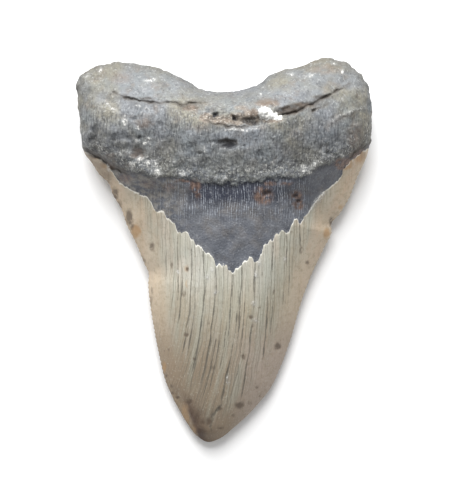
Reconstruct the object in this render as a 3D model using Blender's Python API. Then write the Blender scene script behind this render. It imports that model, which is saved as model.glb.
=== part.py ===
"""A fossil megalodon tooth at its real size, lying on its flat outer face with the swollen inner face up.

The tooth grew as one piece, so it is one object. It starts as a plain grid for each face. Both grids are
stretched over the tooth's outline, which they share as their rim, and each is then raised to the height of
its face: the labial one rests on the ground, and the lingual one carries the root's torus, its nutrient
groove, its cracks, the bourlette and the edge of the enamel. A Decimate modifier keeps the triangles that
the shape needs.

X runs across the tooth, +Y from the tip to the root, and +Z out of the lingual face. The outline and the
heights below are in millimetres, measured from the middle of the tooth's own bounding box.
"""

import math

import bmesh
import bpy
import numpy as np
from mathutils import Vector, noise

# Driving dimensions, in metres. The drawn shape below is stretched to them.
TOOTH_WIDTH = 0.0975  # across the root lobes
TOOTH_HEIGHT = 0.1270  # from the tip to the top of the higher root lobe
TOOTH_THICKNESS = 0.0270  # at the root's torus

# The outline, in four runs that meet at the corners of the grid
LEFT_EDGE = [  # from beside the tip, up the cutting edge and the root's side, to the left lobe
    (-16.5, -50.0), (-19.4, -43.4), (-21.9, -33.0), (-24.1, -21.0), (-25.2, -10.6), (-25.1, -7.2),
    (-26.3, -4.6), (-29.0, 2.1), (-32.7, 9.7), (-33.9, 13.6), (-37.2, 19.4), (-37.8, 21.6), (-41.9, 26.1),
    (-43.8, 29.2), (-46.2, 32.4), (-46.9, 37.0), (-47.2, 42.0), (-48.3, 48.7), (-48.7, 54.0), (-47.7, 57.6),
]
RIGHT_EDGE = [  # the same on the right, with the chip in the cutting edge
    (11.2, -51.0), (15.2, -46.0), (18.6, -39.0), (22.6, -27.8), (25.4, -17.8), (28.7, -8.7), (33.3, 1.2),
    (35.8, 6.8), (35.6, 8.8), (38.3, 12.2), (41.6, 17.7), (44.2, 24.6), (47.2, 31.2), (48.5, 37.5),
    (48.8, 44.0), (48.2, 52.0), (45.5, 58.2),
]
TIP_ARC = [
    (-16.5, -50.0), (-12.5, -56.9), (-9.2, -61.3), (-5.3, -63.5), (-1.8, -62.5), (3.6, -58.4),
    (8.2, -54.2), (11.2, -51.0),
]
LOBE_LINE = [  # over the left lobe, through the basal notch and over the right lobe
    (-47.7, 57.6), (-45.0, 59.8), (-38.5, 61.9), (-33.5, 62.4), (-27.4, 61.6), (-20.5, 59.9), (-14.6, 57.5),
    (-9.6, 54.3), (-4.0, 52.4), (2.2, 52.5), (7.9, 53.9), (11.2, 54.8), (14.6, 57.6), (20.8, 60.0),
    (25.1, 60.8), (30.0, 63.0), (35.5, 63.5), (40.5, 62.0), (45.5, 58.2),
]
SPAN_SAMPLES = 8  # points on each stretch of a smooth line

# Heights along the middle of the tooth as (y, z)
CREST_LINE = [  # the lingual face
    (-63.5, 3.0), (-60.0, 6.4), (-54.0, 8.8), (-45.0, 11.2), (-30.0, 14.4), (-15.0, 17.0), (0.0, 19.2),
    (12.0, 21.0), (20.0, 22.8), (27.0, 25.0), (33.0, 26.3), (39.0, 26.9), (44.0, 26.2), (50.0, 23.0),
    (56.0, 19.0), (64.0, 14.0),
]
RIM_LINE = [  # where the two faces meet, from the thin cutting edge to the root's thick side
    (-63.5, 2.4), (-45.0, 2.7), (-20.0, 3.3), (5.0, 3.9), (22.0, 4.8), (30.0, 6.4), (37.0, 8.4), (47.0, 8.8),
    (64.0, 7.6),
]
LOBE_FALL = 0.44  # how much thinner the root is out on its lobes than in the middle
HALF_SPREAD = 48.8  # from the middle to the end of a lobe

# How each face rounds over to the rim
BLADE_SHARE = 0.80  # of the crown's half width, on the lingual face
LABIAL_BLADE_SHARE = 0.55
BLADE_POWER = 0.85
ROOT_ROUNDING = 13.0
LABIAL_ROOT_ROUNDING = 11.0
ROOT_POWER = 0.5
LEAST_ROUNDING = 4.0
ROOT_START, ROOT_FULL = -7.0, 4.0  # from the foot of the root, where the blade turns into the root

# The neck: the foot of the root, and the upper edge of the enamel on each face
ROOT_FOOT = [
    (-48.5, 34.1), (-46.0, 32.7), (-38.8, 28.9), (-35.5, 26.9), (-23.8, 24.6), (-7.8, 22.7), (8.4, 22.3),
    (16.3, 23.3), (24.5, 23.8), (31.0, 27.0), (37.6, 29.0), (42.6, 31.6), (48.7, 34.6),
]
ENAMEL_EDGE = [  # the ragged chevron under the bourlette
    (-48.5, 33.7), (-46.0, 32.4), (-39.2, 28.6), (-36.7, 25.7), (-32.7, 21.6), (-26.8, 18.4), (-24.3, 17.4),
    (-22.2, 13.2), (-19.8, 13.3), (-14.9, 7.3), (-12.0, 6.7), (-9.0, 2.6), (-7.1, 1.8), (-3.9, -1.4),
    (-2.5, -3.7), (0.7, -3.7), (2.3, -6.1), (5.5, -3.4), (8.1, -1.4), (9.7, -2.9), (11.7, -1.1), (13.0, 2.1),
    (19.2, 7.0), (20.8, 6.8), (23.4, 10.6), (24.8, 9.3), (28.1, 13.3), (31.9, 18.4), (37.0, 22.7),
    (39.8, 28.2), (45.8, 32.9), (48.7, 34.4),
]
LABIAL_ENAMEL_EDGE = [
    (-49.0, 34.0), (-42.0, 31.5), (-24.0, 33.0), (0.0, 29.0), (24.0, 33.5), (42.0, 32.0), (49.0, 34.6),
]
ROOT_STEP = 1.1
ROOT_STEP_RUN = 1.6
ENAMEL_STEP = 0.55
ENAMEL_STEP_RUN = 1.1

# Cracks and grooves on the lingual face: points, half width and depth
NUTRIENT_GROOVE = [(-10.7, 46.2), (-3.9, 43.9), (1.9, 42.1), (8.7, 41.3), (14.5, 42.9), (19.4, 44.3)]
NUTRIENT_GROOVE_HALF_WIDTH = 3.2
NUTRIENT_GROOVE_DEPTH = 1.5
GROOVE_LEDGE = [(-5.8, 40.9), (0.0, 40.0), (5.8, 39.5), (10.1, 40.2)]
LEFT_CRACK = [(-36.2, 51.9), (-31.2, 49.4), (-24.7, 47.9), (-16.5, 47.7), (-13.4, 47.1), (-6.4, 48.2)]
RIGHT_CRACK = [(17.9, 43.2), (23.8, 45.0), (28.7, 47.5), (33.7, 50.4), (39.3, 53.5)]
NECK_CRACK = [(-46.0, 32.5), (-38.9, 28.7), (-32.0, 25.0)]
CRACK_HALF_WIDTH = 0.9
CRACK_DEPTH = 1.5
CAVITY = [(17.2, 44.0), (21.8, 44.9), (25.3, 46.4)]
CAVITY_HALF_WIDTH = 1.7
CAVITY_DEPTH = 2.2

# Foramina and scars, as (x, y, half width, half height, depth)
PIT_FLOOR, PIT_LIP = 0.35, 1.25  # where a pit's flat floor and its wall end, as shares of its half width
PITS = [
    (-2.5, 44.7, 1.1, 1.1, 2.2),
    (3.3, 43.3, 1.0, 1.2, 2.0),
    (7.7, 41.5, 3.0, 1.0, 1.6),
    (0.8, 34.3, 3.4, 1.7, 2.2),
    (13.6, 18.7, 1.9, 1.3, 0.8),
    (23.8, 18.4, 1.3, 1.7, 0.7),
]

# The worn facet left of the tip, beyond the straight ridge that bounds it, and the crust in the groove
FACET_RIDGE = ((-12.5, -47.7), (-6.2, -63.5))
FACET_SLOPE = 0.45
FACET_START, FACET_FULL = -44.0, -50.0
CRUST = (14.1, 43.9, 3.8, 2.0, 1.7)

# Lumps of the worn root and long swells of the crown, as wavelength and height
ROOT_LUMPS = ((17.0, 0.9), (7.5, 0.5), (4.0, 0.22))
ROOT_EDGE_LUMPS = (6.0, 0.35)
CROWN_SWELLS = ((3.6, 0.16), (8.0, 0.24))
CROWN_SWELL_STRETCH = 9.0  # how much longer than wide the crown's swells are
LABIAL_DISH = (0.0, 24.0, 27.0, 9.0, 1.3)  # the hollow under the neck on the labial face, as a pit
LABIAL_LUMP_SHARE = 0.5
LABIAL_STEP_END = (40.0, 50.0)  # the labial root comes back down to the ground between these heights
RELIEF_MARGIN = 2.5  # all relief fades out this close to the rim

# The mesh
GRID_COLUMNS = 220
GRID_ROWS = 290
TIP_FADE, LOBE_FADE = 4, 3  # how fast the rows straighten away from the tip and from the lobes
SIDE_CROWDING = 0.8  # share of cosine spacing, which crowds columns and rows towards the rim
END_CROWDING = 0.5
TRIANGLES = 8600
RIM_REACH = 1e-4  # points this close to the outline are on the rim, and both faces have the same height there
RIM_MERGE = 1e-7  # in metres


def smooth_line(points):
    """Samples of a Catmull-Rom curve through the points, spaced by their chords."""
    p = np.array(points, float)
    t = np.concatenate([[0.0], np.cumsum(np.linalg.norm(np.diff(p, axis=0), axis=1))])
    slope = np.gradient(p, t, axis=0)
    share = np.linspace(0.0, 1.0, SPAN_SAMPLES, endpoint=False)[:, None]
    spans = []
    for i in range(len(p) - 1):
        chord = t[i + 1] - t[i]
        spans.append(
            (2 * share**3 - 3 * share**2 + 1) * p[i]
            + (share**3 - 2 * share**2 + share) * chord * slope[i]
            + (3 * share**2 - 2 * share**3) * p[i + 1]
            + (share**3 - share**2) * chord * slope[i + 1]
        )
    return np.concatenate([*spans, p[-1:]])


def height_on(line, x):
    """The second coordinate of a smooth line where its first is x."""
    samples = smooth_line(line)
    return np.interp(x, samples[:, 0], samples[:, 1])


def point_on(line, share):
    """Points at a share of the way along sampled points, by length."""
    length = np.concatenate([[0.0], np.cumsum(np.linalg.norm(np.diff(line, axis=0), axis=1))])
    at = share * length[-1]
    return np.stack([np.interp(at, length, line[:, k]) for k in range(2)], axis=-1)


def ramp(value, start, end):
    """0 before start, 1 after end and a smooth step between."""
    t = np.clip((value - start) / (end - start), 0.0, 1.0)
    return t * t * (3 - 2 * t)


def distance_to(line, x, y):
    """How far each point is from a line of straight stretches."""
    nearest = np.full(x.shape, np.inf)
    for (ax, ay), (bx, by) in zip(line[:-1], line[1:]):
        run_x, run_y = bx - ax, by - ay
        share = ((x - ax) * run_x + (y - ay) * run_y) / (run_x**2 + run_y**2)
        share = np.clip(share, 0.0, 1.0)
        nearest = np.minimum(nearest, np.hypot(x - ax - share * run_x, y - ay - share * run_y))
    return nearest


def lumps(x, y, wavelength, height, stretch=1.0):
    """Smooth noise of that wavelength across and, times stretch, along the tooth."""
    places = zip((x / wavelength).tolist(), (y / (wavelength * stretch)).tolist())
    return height * np.array([noise.noise(Vector((a, b, wavelength))) for a, b in places])


class Outline:
    """The tooth's outline, and where the points of a grid that is stretched over it lie."""

    def __init__(self):
        self.left = smooth_line(LEFT_EDGE)
        self.right = smooth_line(RIGHT_EDGE)
        self.tip = smooth_line(TIP_ARC)
        self.lobes = smooth_line(LOBE_LINE)
        self.loop = np.concatenate([self.tip, self.right, self.lobes[::-1], self.left[::-1]])
        self.loop = self.loop[np.linalg.norm(self.loop - np.roll(self.loop, 1, axis=0), axis=1) > 0]
        self.loop = np.concatenate([self.loop, self.loop[:1]])

    def place(self, across, along):
        """The point of the outline's inside at these shares, from left to right and from tip to root."""
        sides = []
        for side in (self.left, self.right):
            y = side[0, 1] + along * (side[-1, 1] - side[0, 1])
            sides.append(np.stack([np.interp(y, side[:, 1], side[:, 0]), y], axis=-1))
        across = across[:, None]
        along = along[:, None]
        between = sides[0] + across * (sides[1] - sides[0])
        for end, fade in ((self.tip, (1 - along) ** TIP_FADE), (self.lobes, along**LOBE_FADE)):
            straight = end[0] + across * (end[-1] - end[0])
            between += fade * (point_on(end, across[:, 0]) - straight)
        return between.T

    def half_width(self, y):
        """Half the crown's width at a height, rounded off to nothing at the tip."""
        lowest = self.tip[:, 1].argmin()
        left = np.concatenate([self.tip[lowest::-1], self.left[1:]])
        right = np.concatenate([self.tip[lowest:], self.right[1:]])
        return (np.interp(y, right[:, 1], right[:, 0]) - np.interp(y, left[:, 1], left[:, 0])) / 2


def dent(x, y, centre_x, centre_y, half_width, half_height, depth):
    """A round-bottomed pit, or with a negative depth a mound."""
    away = np.hypot((x - centre_x) / half_width, (y - centre_y) / half_height)
    return -depth * (1 - ramp(away, PIT_FLOOR, PIT_LIP))


def groove(x, y, line, half_width, depth):
    """A trough along a smooth line, which runs out at its ends."""
    return -depth * (1 - ramp(distance_to(smooth_line(line), x, y), 0.0, half_width))


def enamel_share(x, y, edge):
    """1 on the enamel and 0 above its edge."""
    return ramp(height_on(edge, x) - y, -ENAMEL_STEP_RUN / 2, ENAMEL_STEP_RUN / 2)


def lingual_relief(x, y, root):
    """What stands out of or is sunk in the lingual face: the neck's two steps, cracks, pits and lumps."""
    enamel = enamel_share(x, y, ENAMEL_EDGE)
    foot = ramp(y - height_on(ROOT_FOOT, x), -ROOT_STEP_RUN / 2, ROOT_STEP_RUN / 2)
    relief = ENAMEL_STEP * (enamel - 1) + ROOT_STEP * foot
    relief += groove(x, y, NUTRIENT_GROOVE, NUTRIENT_GROOVE_HALF_WIDTH, NUTRIENT_GROOVE_DEPTH)
    for crack in (LEFT_CRACK, RIGHT_CRACK, NECK_CRACK):
        relief += groove(x, y, crack, CRACK_HALF_WIDTH, CRACK_DEPTH)
    relief += groove(x, y, GROOVE_LEDGE, CRACK_HALF_WIDTH, CRACK_DEPTH / 2)
    relief += groove(x, y, CAVITY, CAVITY_HALF_WIDTH, CAVITY_DEPTH)
    (top_x, top_y), (low_x, low_y) = FACET_RIDGE
    beyond = top_x + (y - top_y) * (low_x - top_x) / (low_y - top_y) - x
    relief -= FACET_SLOPE * np.maximum(beyond, 0.0) * ramp(y, FACET_START, FACET_FULL)
    for pit in PITS:
        relief += dent(x, y, *pit)
    relief -= dent(x, y, *CRUST)
    for wavelength, height in ROOT_LUMPS:
        relief += root * lumps(x, y, wavelength, height)
    for wavelength, height in CROWN_SWELLS:
        relief += enamel * lumps(x, y, wavelength, height, CROWN_SWELL_STRETCH)
    return relief


def rounded(distance, width, power):
    """The share of its full height that a face has this far in from the rim."""
    return (1 - (1 - np.clip(distance / width, 0.0, 1.0)) ** 2) ** power


def face_heights(outline, x, y, lingual):
    """The height of each point above the ground, on the lingual face or, where that is False, the labial."""
    rim_distance = distance_to(outline.loop, x, y)
    root = ramp(y - height_on(ROOT_FOOT, x), ROOT_START, ROOT_FULL)
    rim = height_on(RIM_LINE, y) + root * lumps(x, y, *ROOT_EDGE_LUMPS)
    half_width = outline.half_width(y)
    power = BLADE_POWER + root * (ROOT_POWER - BLADE_POWER)
    off_rim = ramp(rim_distance, 0.0, RELIEF_MARGIN)

    crest = height_on(CREST_LINE, y)
    middle = rim + (crest - rim) * (1 - LOBE_FALL * root * (x / HALF_SPREAD) ** 2)
    blade = np.maximum(BLADE_SHARE * half_width, LEAST_ROUNDING)
    width = blade + root * (ROOT_ROUNDING - blade)
    top = rim + (middle - rim) * rounded(rim_distance, width, power)
    top += off_rim * lingual_relief(x, y, root)

    blade = np.maximum(LABIAL_BLADE_SHARE * half_width, LEAST_ROUNDING)
    width = blade + root * (LABIAL_ROOT_ROUNDING - blade)
    bottom = rim * (1 - rounded(rim_distance, width, power))
    bottom -= off_rim * dent(x, y, *LABIAL_DISH)
    bare = 1 - enamel_share(x, y, LABIAL_ENAMEL_EDGE)
    bottom += off_rim * ENAMEL_STEP * bare * (1 - ramp(y, *LABIAL_STEP_END))
    for wavelength, height in ROOT_LUMPS:
        bottom += off_rim * root * lumps(x + 2 * HALF_SPREAD, y, wavelength, LABIAL_LUMP_SHARE * height)
    bottom = np.maximum(bottom, 0.0)
    return np.where(rim_distance < RIM_REACH, rim, np.where(lingual, top, bottom))


def crowded(share, amount):
    """Shares from 0 to 1 moved towards both ends."""
    return share + amount * ((1 - np.cos(math.pi * share)) / 2 - share)


def grid_faces():
    """A grid at z = 1 for the lingual face and a turned-over copy at z = -1 for the labial one."""
    bm = bmesh.new()
    bmesh.ops.create_grid(bm, x_segments=GRID_COLUMNS, y_segments=GRID_ROWS, size=1.0)
    copied = bmesh.ops.duplicate(bm, geom=bm.verts[:] + bm.edges[:] + bm.faces[:])["geom"]
    below = [v for v in copied if isinstance(v, bmesh.types.BMVert)]
    under = set(below)
    above = [v for v in bm.verts if v not in under]
    bmesh.ops.reverse_faces(bm, faces=[f for f in copied if isinstance(f, bmesh.types.BMFace)])
    bmesh.ops.translate(bm, verts=above, vec=(0.0, 0.0, 1.0))
    bmesh.ops.translate(bm, verts=below, vec=(0.0, 0.0, -1.0))
    return bm


def shape_tooth(mesh):
    """Moves the points of the two grids to the tooth's faces."""
    points = np.empty(3 * len(mesh.vertices), np.float32)
    mesh.vertices.foreach_get("co", points)
    column, row, side = points.reshape(-1, 3).astype(float).T
    across = crowded(np.clip((column + 1) / 2, 0, 1), SIDE_CROWDING)
    along = crowded(np.clip((row + 1) / 2, 0, 1), END_CROWDING)
    outline = Outline()
    x, y = outline.place(across, along)
    z = face_heights(outline, x, y, side > 0)
    drawn = np.stack([x, y, z], axis=-1)
    low, high = drawn.min(axis=0), drawn.max(axis=0)
    size = np.array([TOOTH_WIDTH, TOOTH_HEIGHT, TOOTH_THICKNESS])
    placed = (drawn - low) / (high - low) * size - size * (0.5, 0.5, 0.0)
    mesh.vertices.foreach_set("co", placed.astype(np.float32).ravel())


def fossil_material():
    """Phosphate that lay in river sand: dull grey-brown with a faint polish."""
    material = bpy.data.materials.new("fossil_tooth")
    material.use_nodes = True
    surface = material.node_tree.nodes["Principled BSDF"]
    surface.inputs["Base Color"].default_value = (0.27, 0.26, 0.23, 1.0)
    surface.inputs["Roughness"].default_value = 0.55
    surface.inputs["Metallic"].default_value = 0.0
    return material


def make_tooth(collection):
    bm = grid_faces()
    mesh = bpy.data.meshes.new("tooth")
    bm.to_mesh(mesh)
    bm.free()
    shape_tooth(mesh)

    bm = bmesh.new()
    bm.from_mesh(mesh)
    bmesh.ops.remove_doubles(bm, verts=bm.verts, dist=RIM_MERGE)
    quads = len(bm.faces)
    bm.to_mesh(mesh)
    bm.free()
    mesh.shade_smooth()
    mesh.materials.append(fossil_material())

    tooth = bpy.data.objects.new("tooth", mesh)
    collection.objects.link(tooth)
    fewer = tooth.modifiers.new("fewer_triangles", "DECIMATE")
    fewer.decimate_type = "COLLAPSE"
    fewer.ratio = TRIANGLES / (2 * quads)
    return tooth


def main():
    for old in list(bpy.data.objects):
        bpy.data.objects.remove(old)
    collection = bpy.data.collections.new("megalodon_tooth")
    bpy.context.scene.collection.children.link(collection)
    make_tooth(collection)


main()
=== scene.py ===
"""A fossil megalodon tooth with its real finishes, and the plain studio that it lies in.

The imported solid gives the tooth's size. The surface here has the same form, drawn again on a fine grid, with
what the solid leaves out: the ragged edge of the enamel, its lengthwise cracks and serrations, the crumbled
foot of the root, torn cracks, pits, grains and the crystals of the crust. Masks worked out with the form say
where each finish lies, and the material's own patterns do the rest.

Lengths in the tables are millimetres, from the middle of the tooth: X across, Y from the tip to the root.
"""

import math

import bmesh
import bpy
import numpy as np
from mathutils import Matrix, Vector, noise


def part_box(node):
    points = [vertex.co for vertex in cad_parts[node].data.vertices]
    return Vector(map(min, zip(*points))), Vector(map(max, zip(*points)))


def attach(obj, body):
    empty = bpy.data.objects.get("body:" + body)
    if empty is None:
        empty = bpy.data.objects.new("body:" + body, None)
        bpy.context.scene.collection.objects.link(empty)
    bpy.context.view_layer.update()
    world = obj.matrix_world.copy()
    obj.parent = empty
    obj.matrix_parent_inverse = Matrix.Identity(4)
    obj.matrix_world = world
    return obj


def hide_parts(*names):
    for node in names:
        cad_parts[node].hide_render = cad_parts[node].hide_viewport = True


bl_info = {
    "name": "Fossil Megalodon Tooth",
    "version": (1, 0, 0),
    "blender": (4, 5, 0),
    "location": "View3D > Sidebar > Fossil",
    "description": "Makes a fossil megalodon tooth and the pale studio that it lies in",
    "category": "Object",
}

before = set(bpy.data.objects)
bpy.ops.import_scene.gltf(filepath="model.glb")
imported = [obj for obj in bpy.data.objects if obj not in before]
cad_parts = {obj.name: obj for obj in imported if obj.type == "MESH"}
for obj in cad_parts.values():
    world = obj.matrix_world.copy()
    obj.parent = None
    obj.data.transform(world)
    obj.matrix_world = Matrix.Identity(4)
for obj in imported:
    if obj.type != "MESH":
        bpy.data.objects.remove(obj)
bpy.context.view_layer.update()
TOOTH_LOW, TOOTH_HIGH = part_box("tooth")
MM = 0.001

# The outline, in four runs that meet at the corners of the grid
LEFT_EDGE = [
    (-16.5, -50.0), (-19.4, -43.4), (-21.9, -33.0), (-24.1, -21.0), (-25.2, -10.6), (-25.1, -7.2),
    (-26.3, -4.6), (-29.0, 2.1), (-32.7, 9.7), (-33.9, 13.6), (-37.2, 19.4), (-37.8, 21.6), (-41.9, 26.1),
    (-43.8, 29.2), (-46.2, 32.4), (-46.9, 37.0), (-47.2, 42.0), (-48.3, 48.7), (-48.7, 54.0), (-47.7, 57.6),
]
RIGHT_EDGE = [
    (11.2, -51.0), (15.2, -46.0), (18.6, -39.0), (22.6, -27.8), (25.4, -17.8), (28.7, -8.7), (33.3, 1.2),
    (35.8, 6.8), (35.6, 8.8), (38.3, 12.2), (41.6, 17.7), (44.2, 24.6), (47.2, 31.2), (48.5, 37.5),
    (48.8, 44.0), (48.2, 52.0), (45.5, 58.2),
]
TIP_ARC = [
    (-16.5, -50.0), (-12.5, -56.9), (-9.2, -61.3), (-5.3, -63.5), (-1.8, -62.5), (3.6, -58.4),
    (8.2, -54.2), (11.2, -51.0),
]
LOBE_LINE = [
    (-47.7, 57.6), (-45.0, 59.8), (-38.5, 61.9), (-33.5, 62.4), (-27.4, 61.6), (-20.5, 59.9), (-14.6, 57.5),
    (-9.6, 54.3), (-4.0, 52.4), (2.2, 52.5), (7.9, 53.9), (11.2, 54.8), (14.6, 57.6), (20.8, 60.0),
    (25.1, 60.8), (30.0, 63.0), (35.5, 63.5), (40.5, 62.0), (45.5, 58.2),
]
SPAN_SAMPLES = 8  # points on each stretch of a smooth line
NOTCH_SHIFTS = (-4.5, -3.0, -1.5, 0.0, 1.5, 3.0, 4.5)

# Heights along the middle of the tooth as (y, z)
CREST_LINE = [
    (-63.5, 3.0), (-60.0, 6.4), (-54.0, 8.8), (-45.0, 11.2), (-30.0, 14.4), (-15.0, 17.0), (0.0, 19.2),
    (12.0, 21.0), (20.0, 22.8), (27.0, 25.0), (33.0, 26.3), (39.0, 26.9), (44.0, 26.2), (50.0, 23.0),
    (56.0, 19.0), (64.0, 14.0),
]
RIM_LINE = [
    (-63.5, 2.4), (-45.0, 2.7), (-20.0, 3.3), (5.0, 3.9), (22.0, 4.8), (30.0, 6.4), (37.0, 8.4), (47.0, 8.8),
    (64.0, 7.6),
]
LOBE_FALL = 0.44
HALF_SPREAD = 48.8

# How each face rounds over to the rim
BLADE_SHARE = 0.80
LABIAL_BLADE_SHARE = 0.55
BLADE_POWER = 0.85
ROOT_ROUNDING = 13.0
LABIAL_ROOT_ROUNDING = 11.0
ROOT_POWER = 0.5
LEAST_ROUNDING = 4.0
ROOT_START, ROOT_FULL = -7.0, 4.0

# The neck: the foot of the root, and the upper edge of the enamel on each face
ROOT_FOOT = [
    (-48.5, 34.6), (-46.0, 33.6), (-40.9, 31.0), (-36.6, 28.8), (-32.0, 26.2), (-23.8, 24.6), (-7.8, 22.7),
    (8.4, 22.3), (16.3, 23.3), (24.5, 23.8), (31.0, 27.0), (37.6, 29.6), (42.6, 32.4), (48.7, 35.6),
]
ENAMEL_EDGE = [
    (-48.5, 34.2), (-46.0, 33.0), (-39.2, 29.4), (-36.7, 26.2), (-34.7, 22.9), (-32.7, 21.6), (-30.8, 20.3),
    (-26.8, 18.4), (-25.2, 17.8), (-23.9, 16.4), (-23.2, 14.8), (-22.5, 13.2), (-21.9, 12.9), (-19.8, 13.3),
    (-18.9, 11.8), (-17.6, 10.2), (-16.2, 9.2), (-15.3, 7.5), (-14.6, 6.6), (-12.0, 6.6), (-11.0, 5.0),
    (-10.0, 4.0), (-9.1, 2.4), (-7.1, 1.8), (-6.1, 0.4), (-4.5, -0.9), (-3.2, -2.5), (-2.6, -3.8),
    (0.4, -3.8), (1.6, -5.2), (2.2, -6.1), (3.6, -5.8), (4.9, -4.4), (5.9, -3.3), (7.2, -2.7), (8.2, -1.6),
    (9.1, -1.7), (9.8, -2.7), (10.8, -2.7), (11.6, -1.0), (12.3, 0.3), (13.1, 2.3), (14.4, 3.6), (15.7, 4.3),
    (17.1, 5.9), (18.3, 6.9), (19.4, 7.2), (20.4, 6.7), (21.3, 7.3), (22.0, 8.6), (23.0, 10.6), (23.9, 10.9),
    (24.6, 9.9), (25.6, 9.9), (26.3, 11.2), (27.5, 12.5), (29.4, 15.7), (31.9, 18.7), (34.7, 20.8),
    (36.9, 22.8), (38.4, 24.5), (39.2, 26.8), (41.4, 29.4), (45.8, 32.9), (48.7, 34.4),
]
LABIAL_ENAMEL_EDGE = [
    (-49.0, 34.0), (-42.0, 31.5), (-24.0, 33.0), (0.0, 29.0), (24.0, 33.5), (42.0, 32.0), (49.0, 34.6),
]
ROOT_STEP = 0.7
ROOT_STEP_RUN = 1.8
FOOT_WOBBLES = ((6.5, 0.8), (2.4, 1.0), (1.1, 0.6))  # how the root's foot crumbles: wavelength, reach
ENAMEL_STEP = 0.32
ENAMEL_STEP_RUN = 0.6
ENAMEL_CHIPS = (4.0, 1.2)  # how the step's height varies, as a share
ENAMEL_WOBBLE = (1.3, 0.35)
ENAMEL_SPALLS = (0.9, 0.5)
ENAMEL_NOTCH, NOTCH_REACH = 0.9, 0.8  # how its edge is eaten back where a crack meets it
LABIAL_STEP_RUN = 1.1

# The root's cracks, as their lines, half width and depth
NUTRIENT_GROOVE = [(-10.7, 46.2), (-3.9, 43.9), (1.9, 42.1), (8.7, 41.3), (14.5, 42.9), (19.4, 44.3)]
NUTRIENT_GROOVE_HALF_WIDTH = 3.2
NUTRIENT_GROOVE_DEPTH = 1.5
ROOT_CRACKS = [
    ([(-36.3, 52.0), (-35.2, 51.2), (-34.2, 50.6)], 0.4, 0.5),
    ([(-34.2, 50.6), (-31.6, 49.5), (-28.3, 48.8), (-24.7, 48.1), (-20.4, 47.9)], 0.55, 0.9),
    ([(-28.0, 49.8), (-25.6, 49.3), (-22.6, 48.9)], 0.3, 0.5),
    ([(-24.0, 48.1), (-18.6, 47.7), (-16.0, 47.9), (-14.1, 47.1), (-10.9, 47.7), (-5.4, 48.5)], 0.45, 0.7),
    ([(-18.6, 48.5), (-16.0, 47.4), (-12.5, 46.4), (-10.9, 45.7)], 0.32, 0.5),
    ([(25.0, 45.6), (26.4, 46.5), (29.0, 47.7), (30.9, 48.9), (33.6, 50.3), (36.2, 51.7), (41.3, 54.6)],
     0.55, 1.0),
    ([(16.5, 43.4), (18.5, 43.8), (21.0, 44.5), (24.0, 45.4), (27.0, 46.9)], 0.55, 1.2),
    ([(-5.8, 41.9), (-3.4, 40.9), (-1.0, 40.5), (1.6, 40.1), (5.2, 39.8), (8.6, 40.4)], 0.5, 0.7),
    ([(-48.6, 34.4), (-45.6, 33.2), (-42.0, 31.2), (-38.4, 29.2), (-35.5, 27.2), (-31.0, 25.2)], 0.85, 1.1),
    ([(40.6, 30.0), (42.4, 31.9), (44.8, 33.7), (48.4, 35.6)], 0.45, 0.7),
    ([(28.0, 45.0), (30.8, 46.4), (33.4, 47.8)], 0.25, 0.35),
    ([(-1.4, 35.9), (0.6, 35.5), (2.6, 35.4), (4.6, 34.6)], 0.4, 0.6),
    ([(36.0, 41.6), (38.9, 43.3), (41.3, 44.3), (44.0, 45.5)], 0.25, 0.3),
]
PALE_LINES = [  # raised seams of pale mineral, and their half width
    ([(-39.0, 48.6), (-36.3, 46.1), (-34.0, 44.8), (-32.0, 43.5)], 0.2),
    ([(34.6, 41.9), (38.0, 43.9), (41.3, 45.1), (44.2, 46.5), (46.2, 47.4)], 0.22),
    ([(28.0, 13.0), (29.6, 15.4), (31.6, 18.0), (33.6, 19.6)], 0.6),
    ([(-0.8, 39.1), (1.6, 39.2), (4.6, 38.7), (8.2, 38.9), (10.6, 39.6)], 0.15),
]
PALE_HEIGHT = 0.22
PALE_RISE = (-0.1, 0.4)  # from past its border to where it is full
TORN = ((2.2, 0.55), (0.9, 0.3))  # how lips and borders are torn: wavelength and reach
PINCH = (1.9, 0.6)  # how their width varies
TAPER_LEAD, TAPER_REACH = 0.05, 0.25  # how a crack narrows to its ends, as shares of its length
TAPERED_SHARE = 0.25  # the share of its width that is left there

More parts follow.
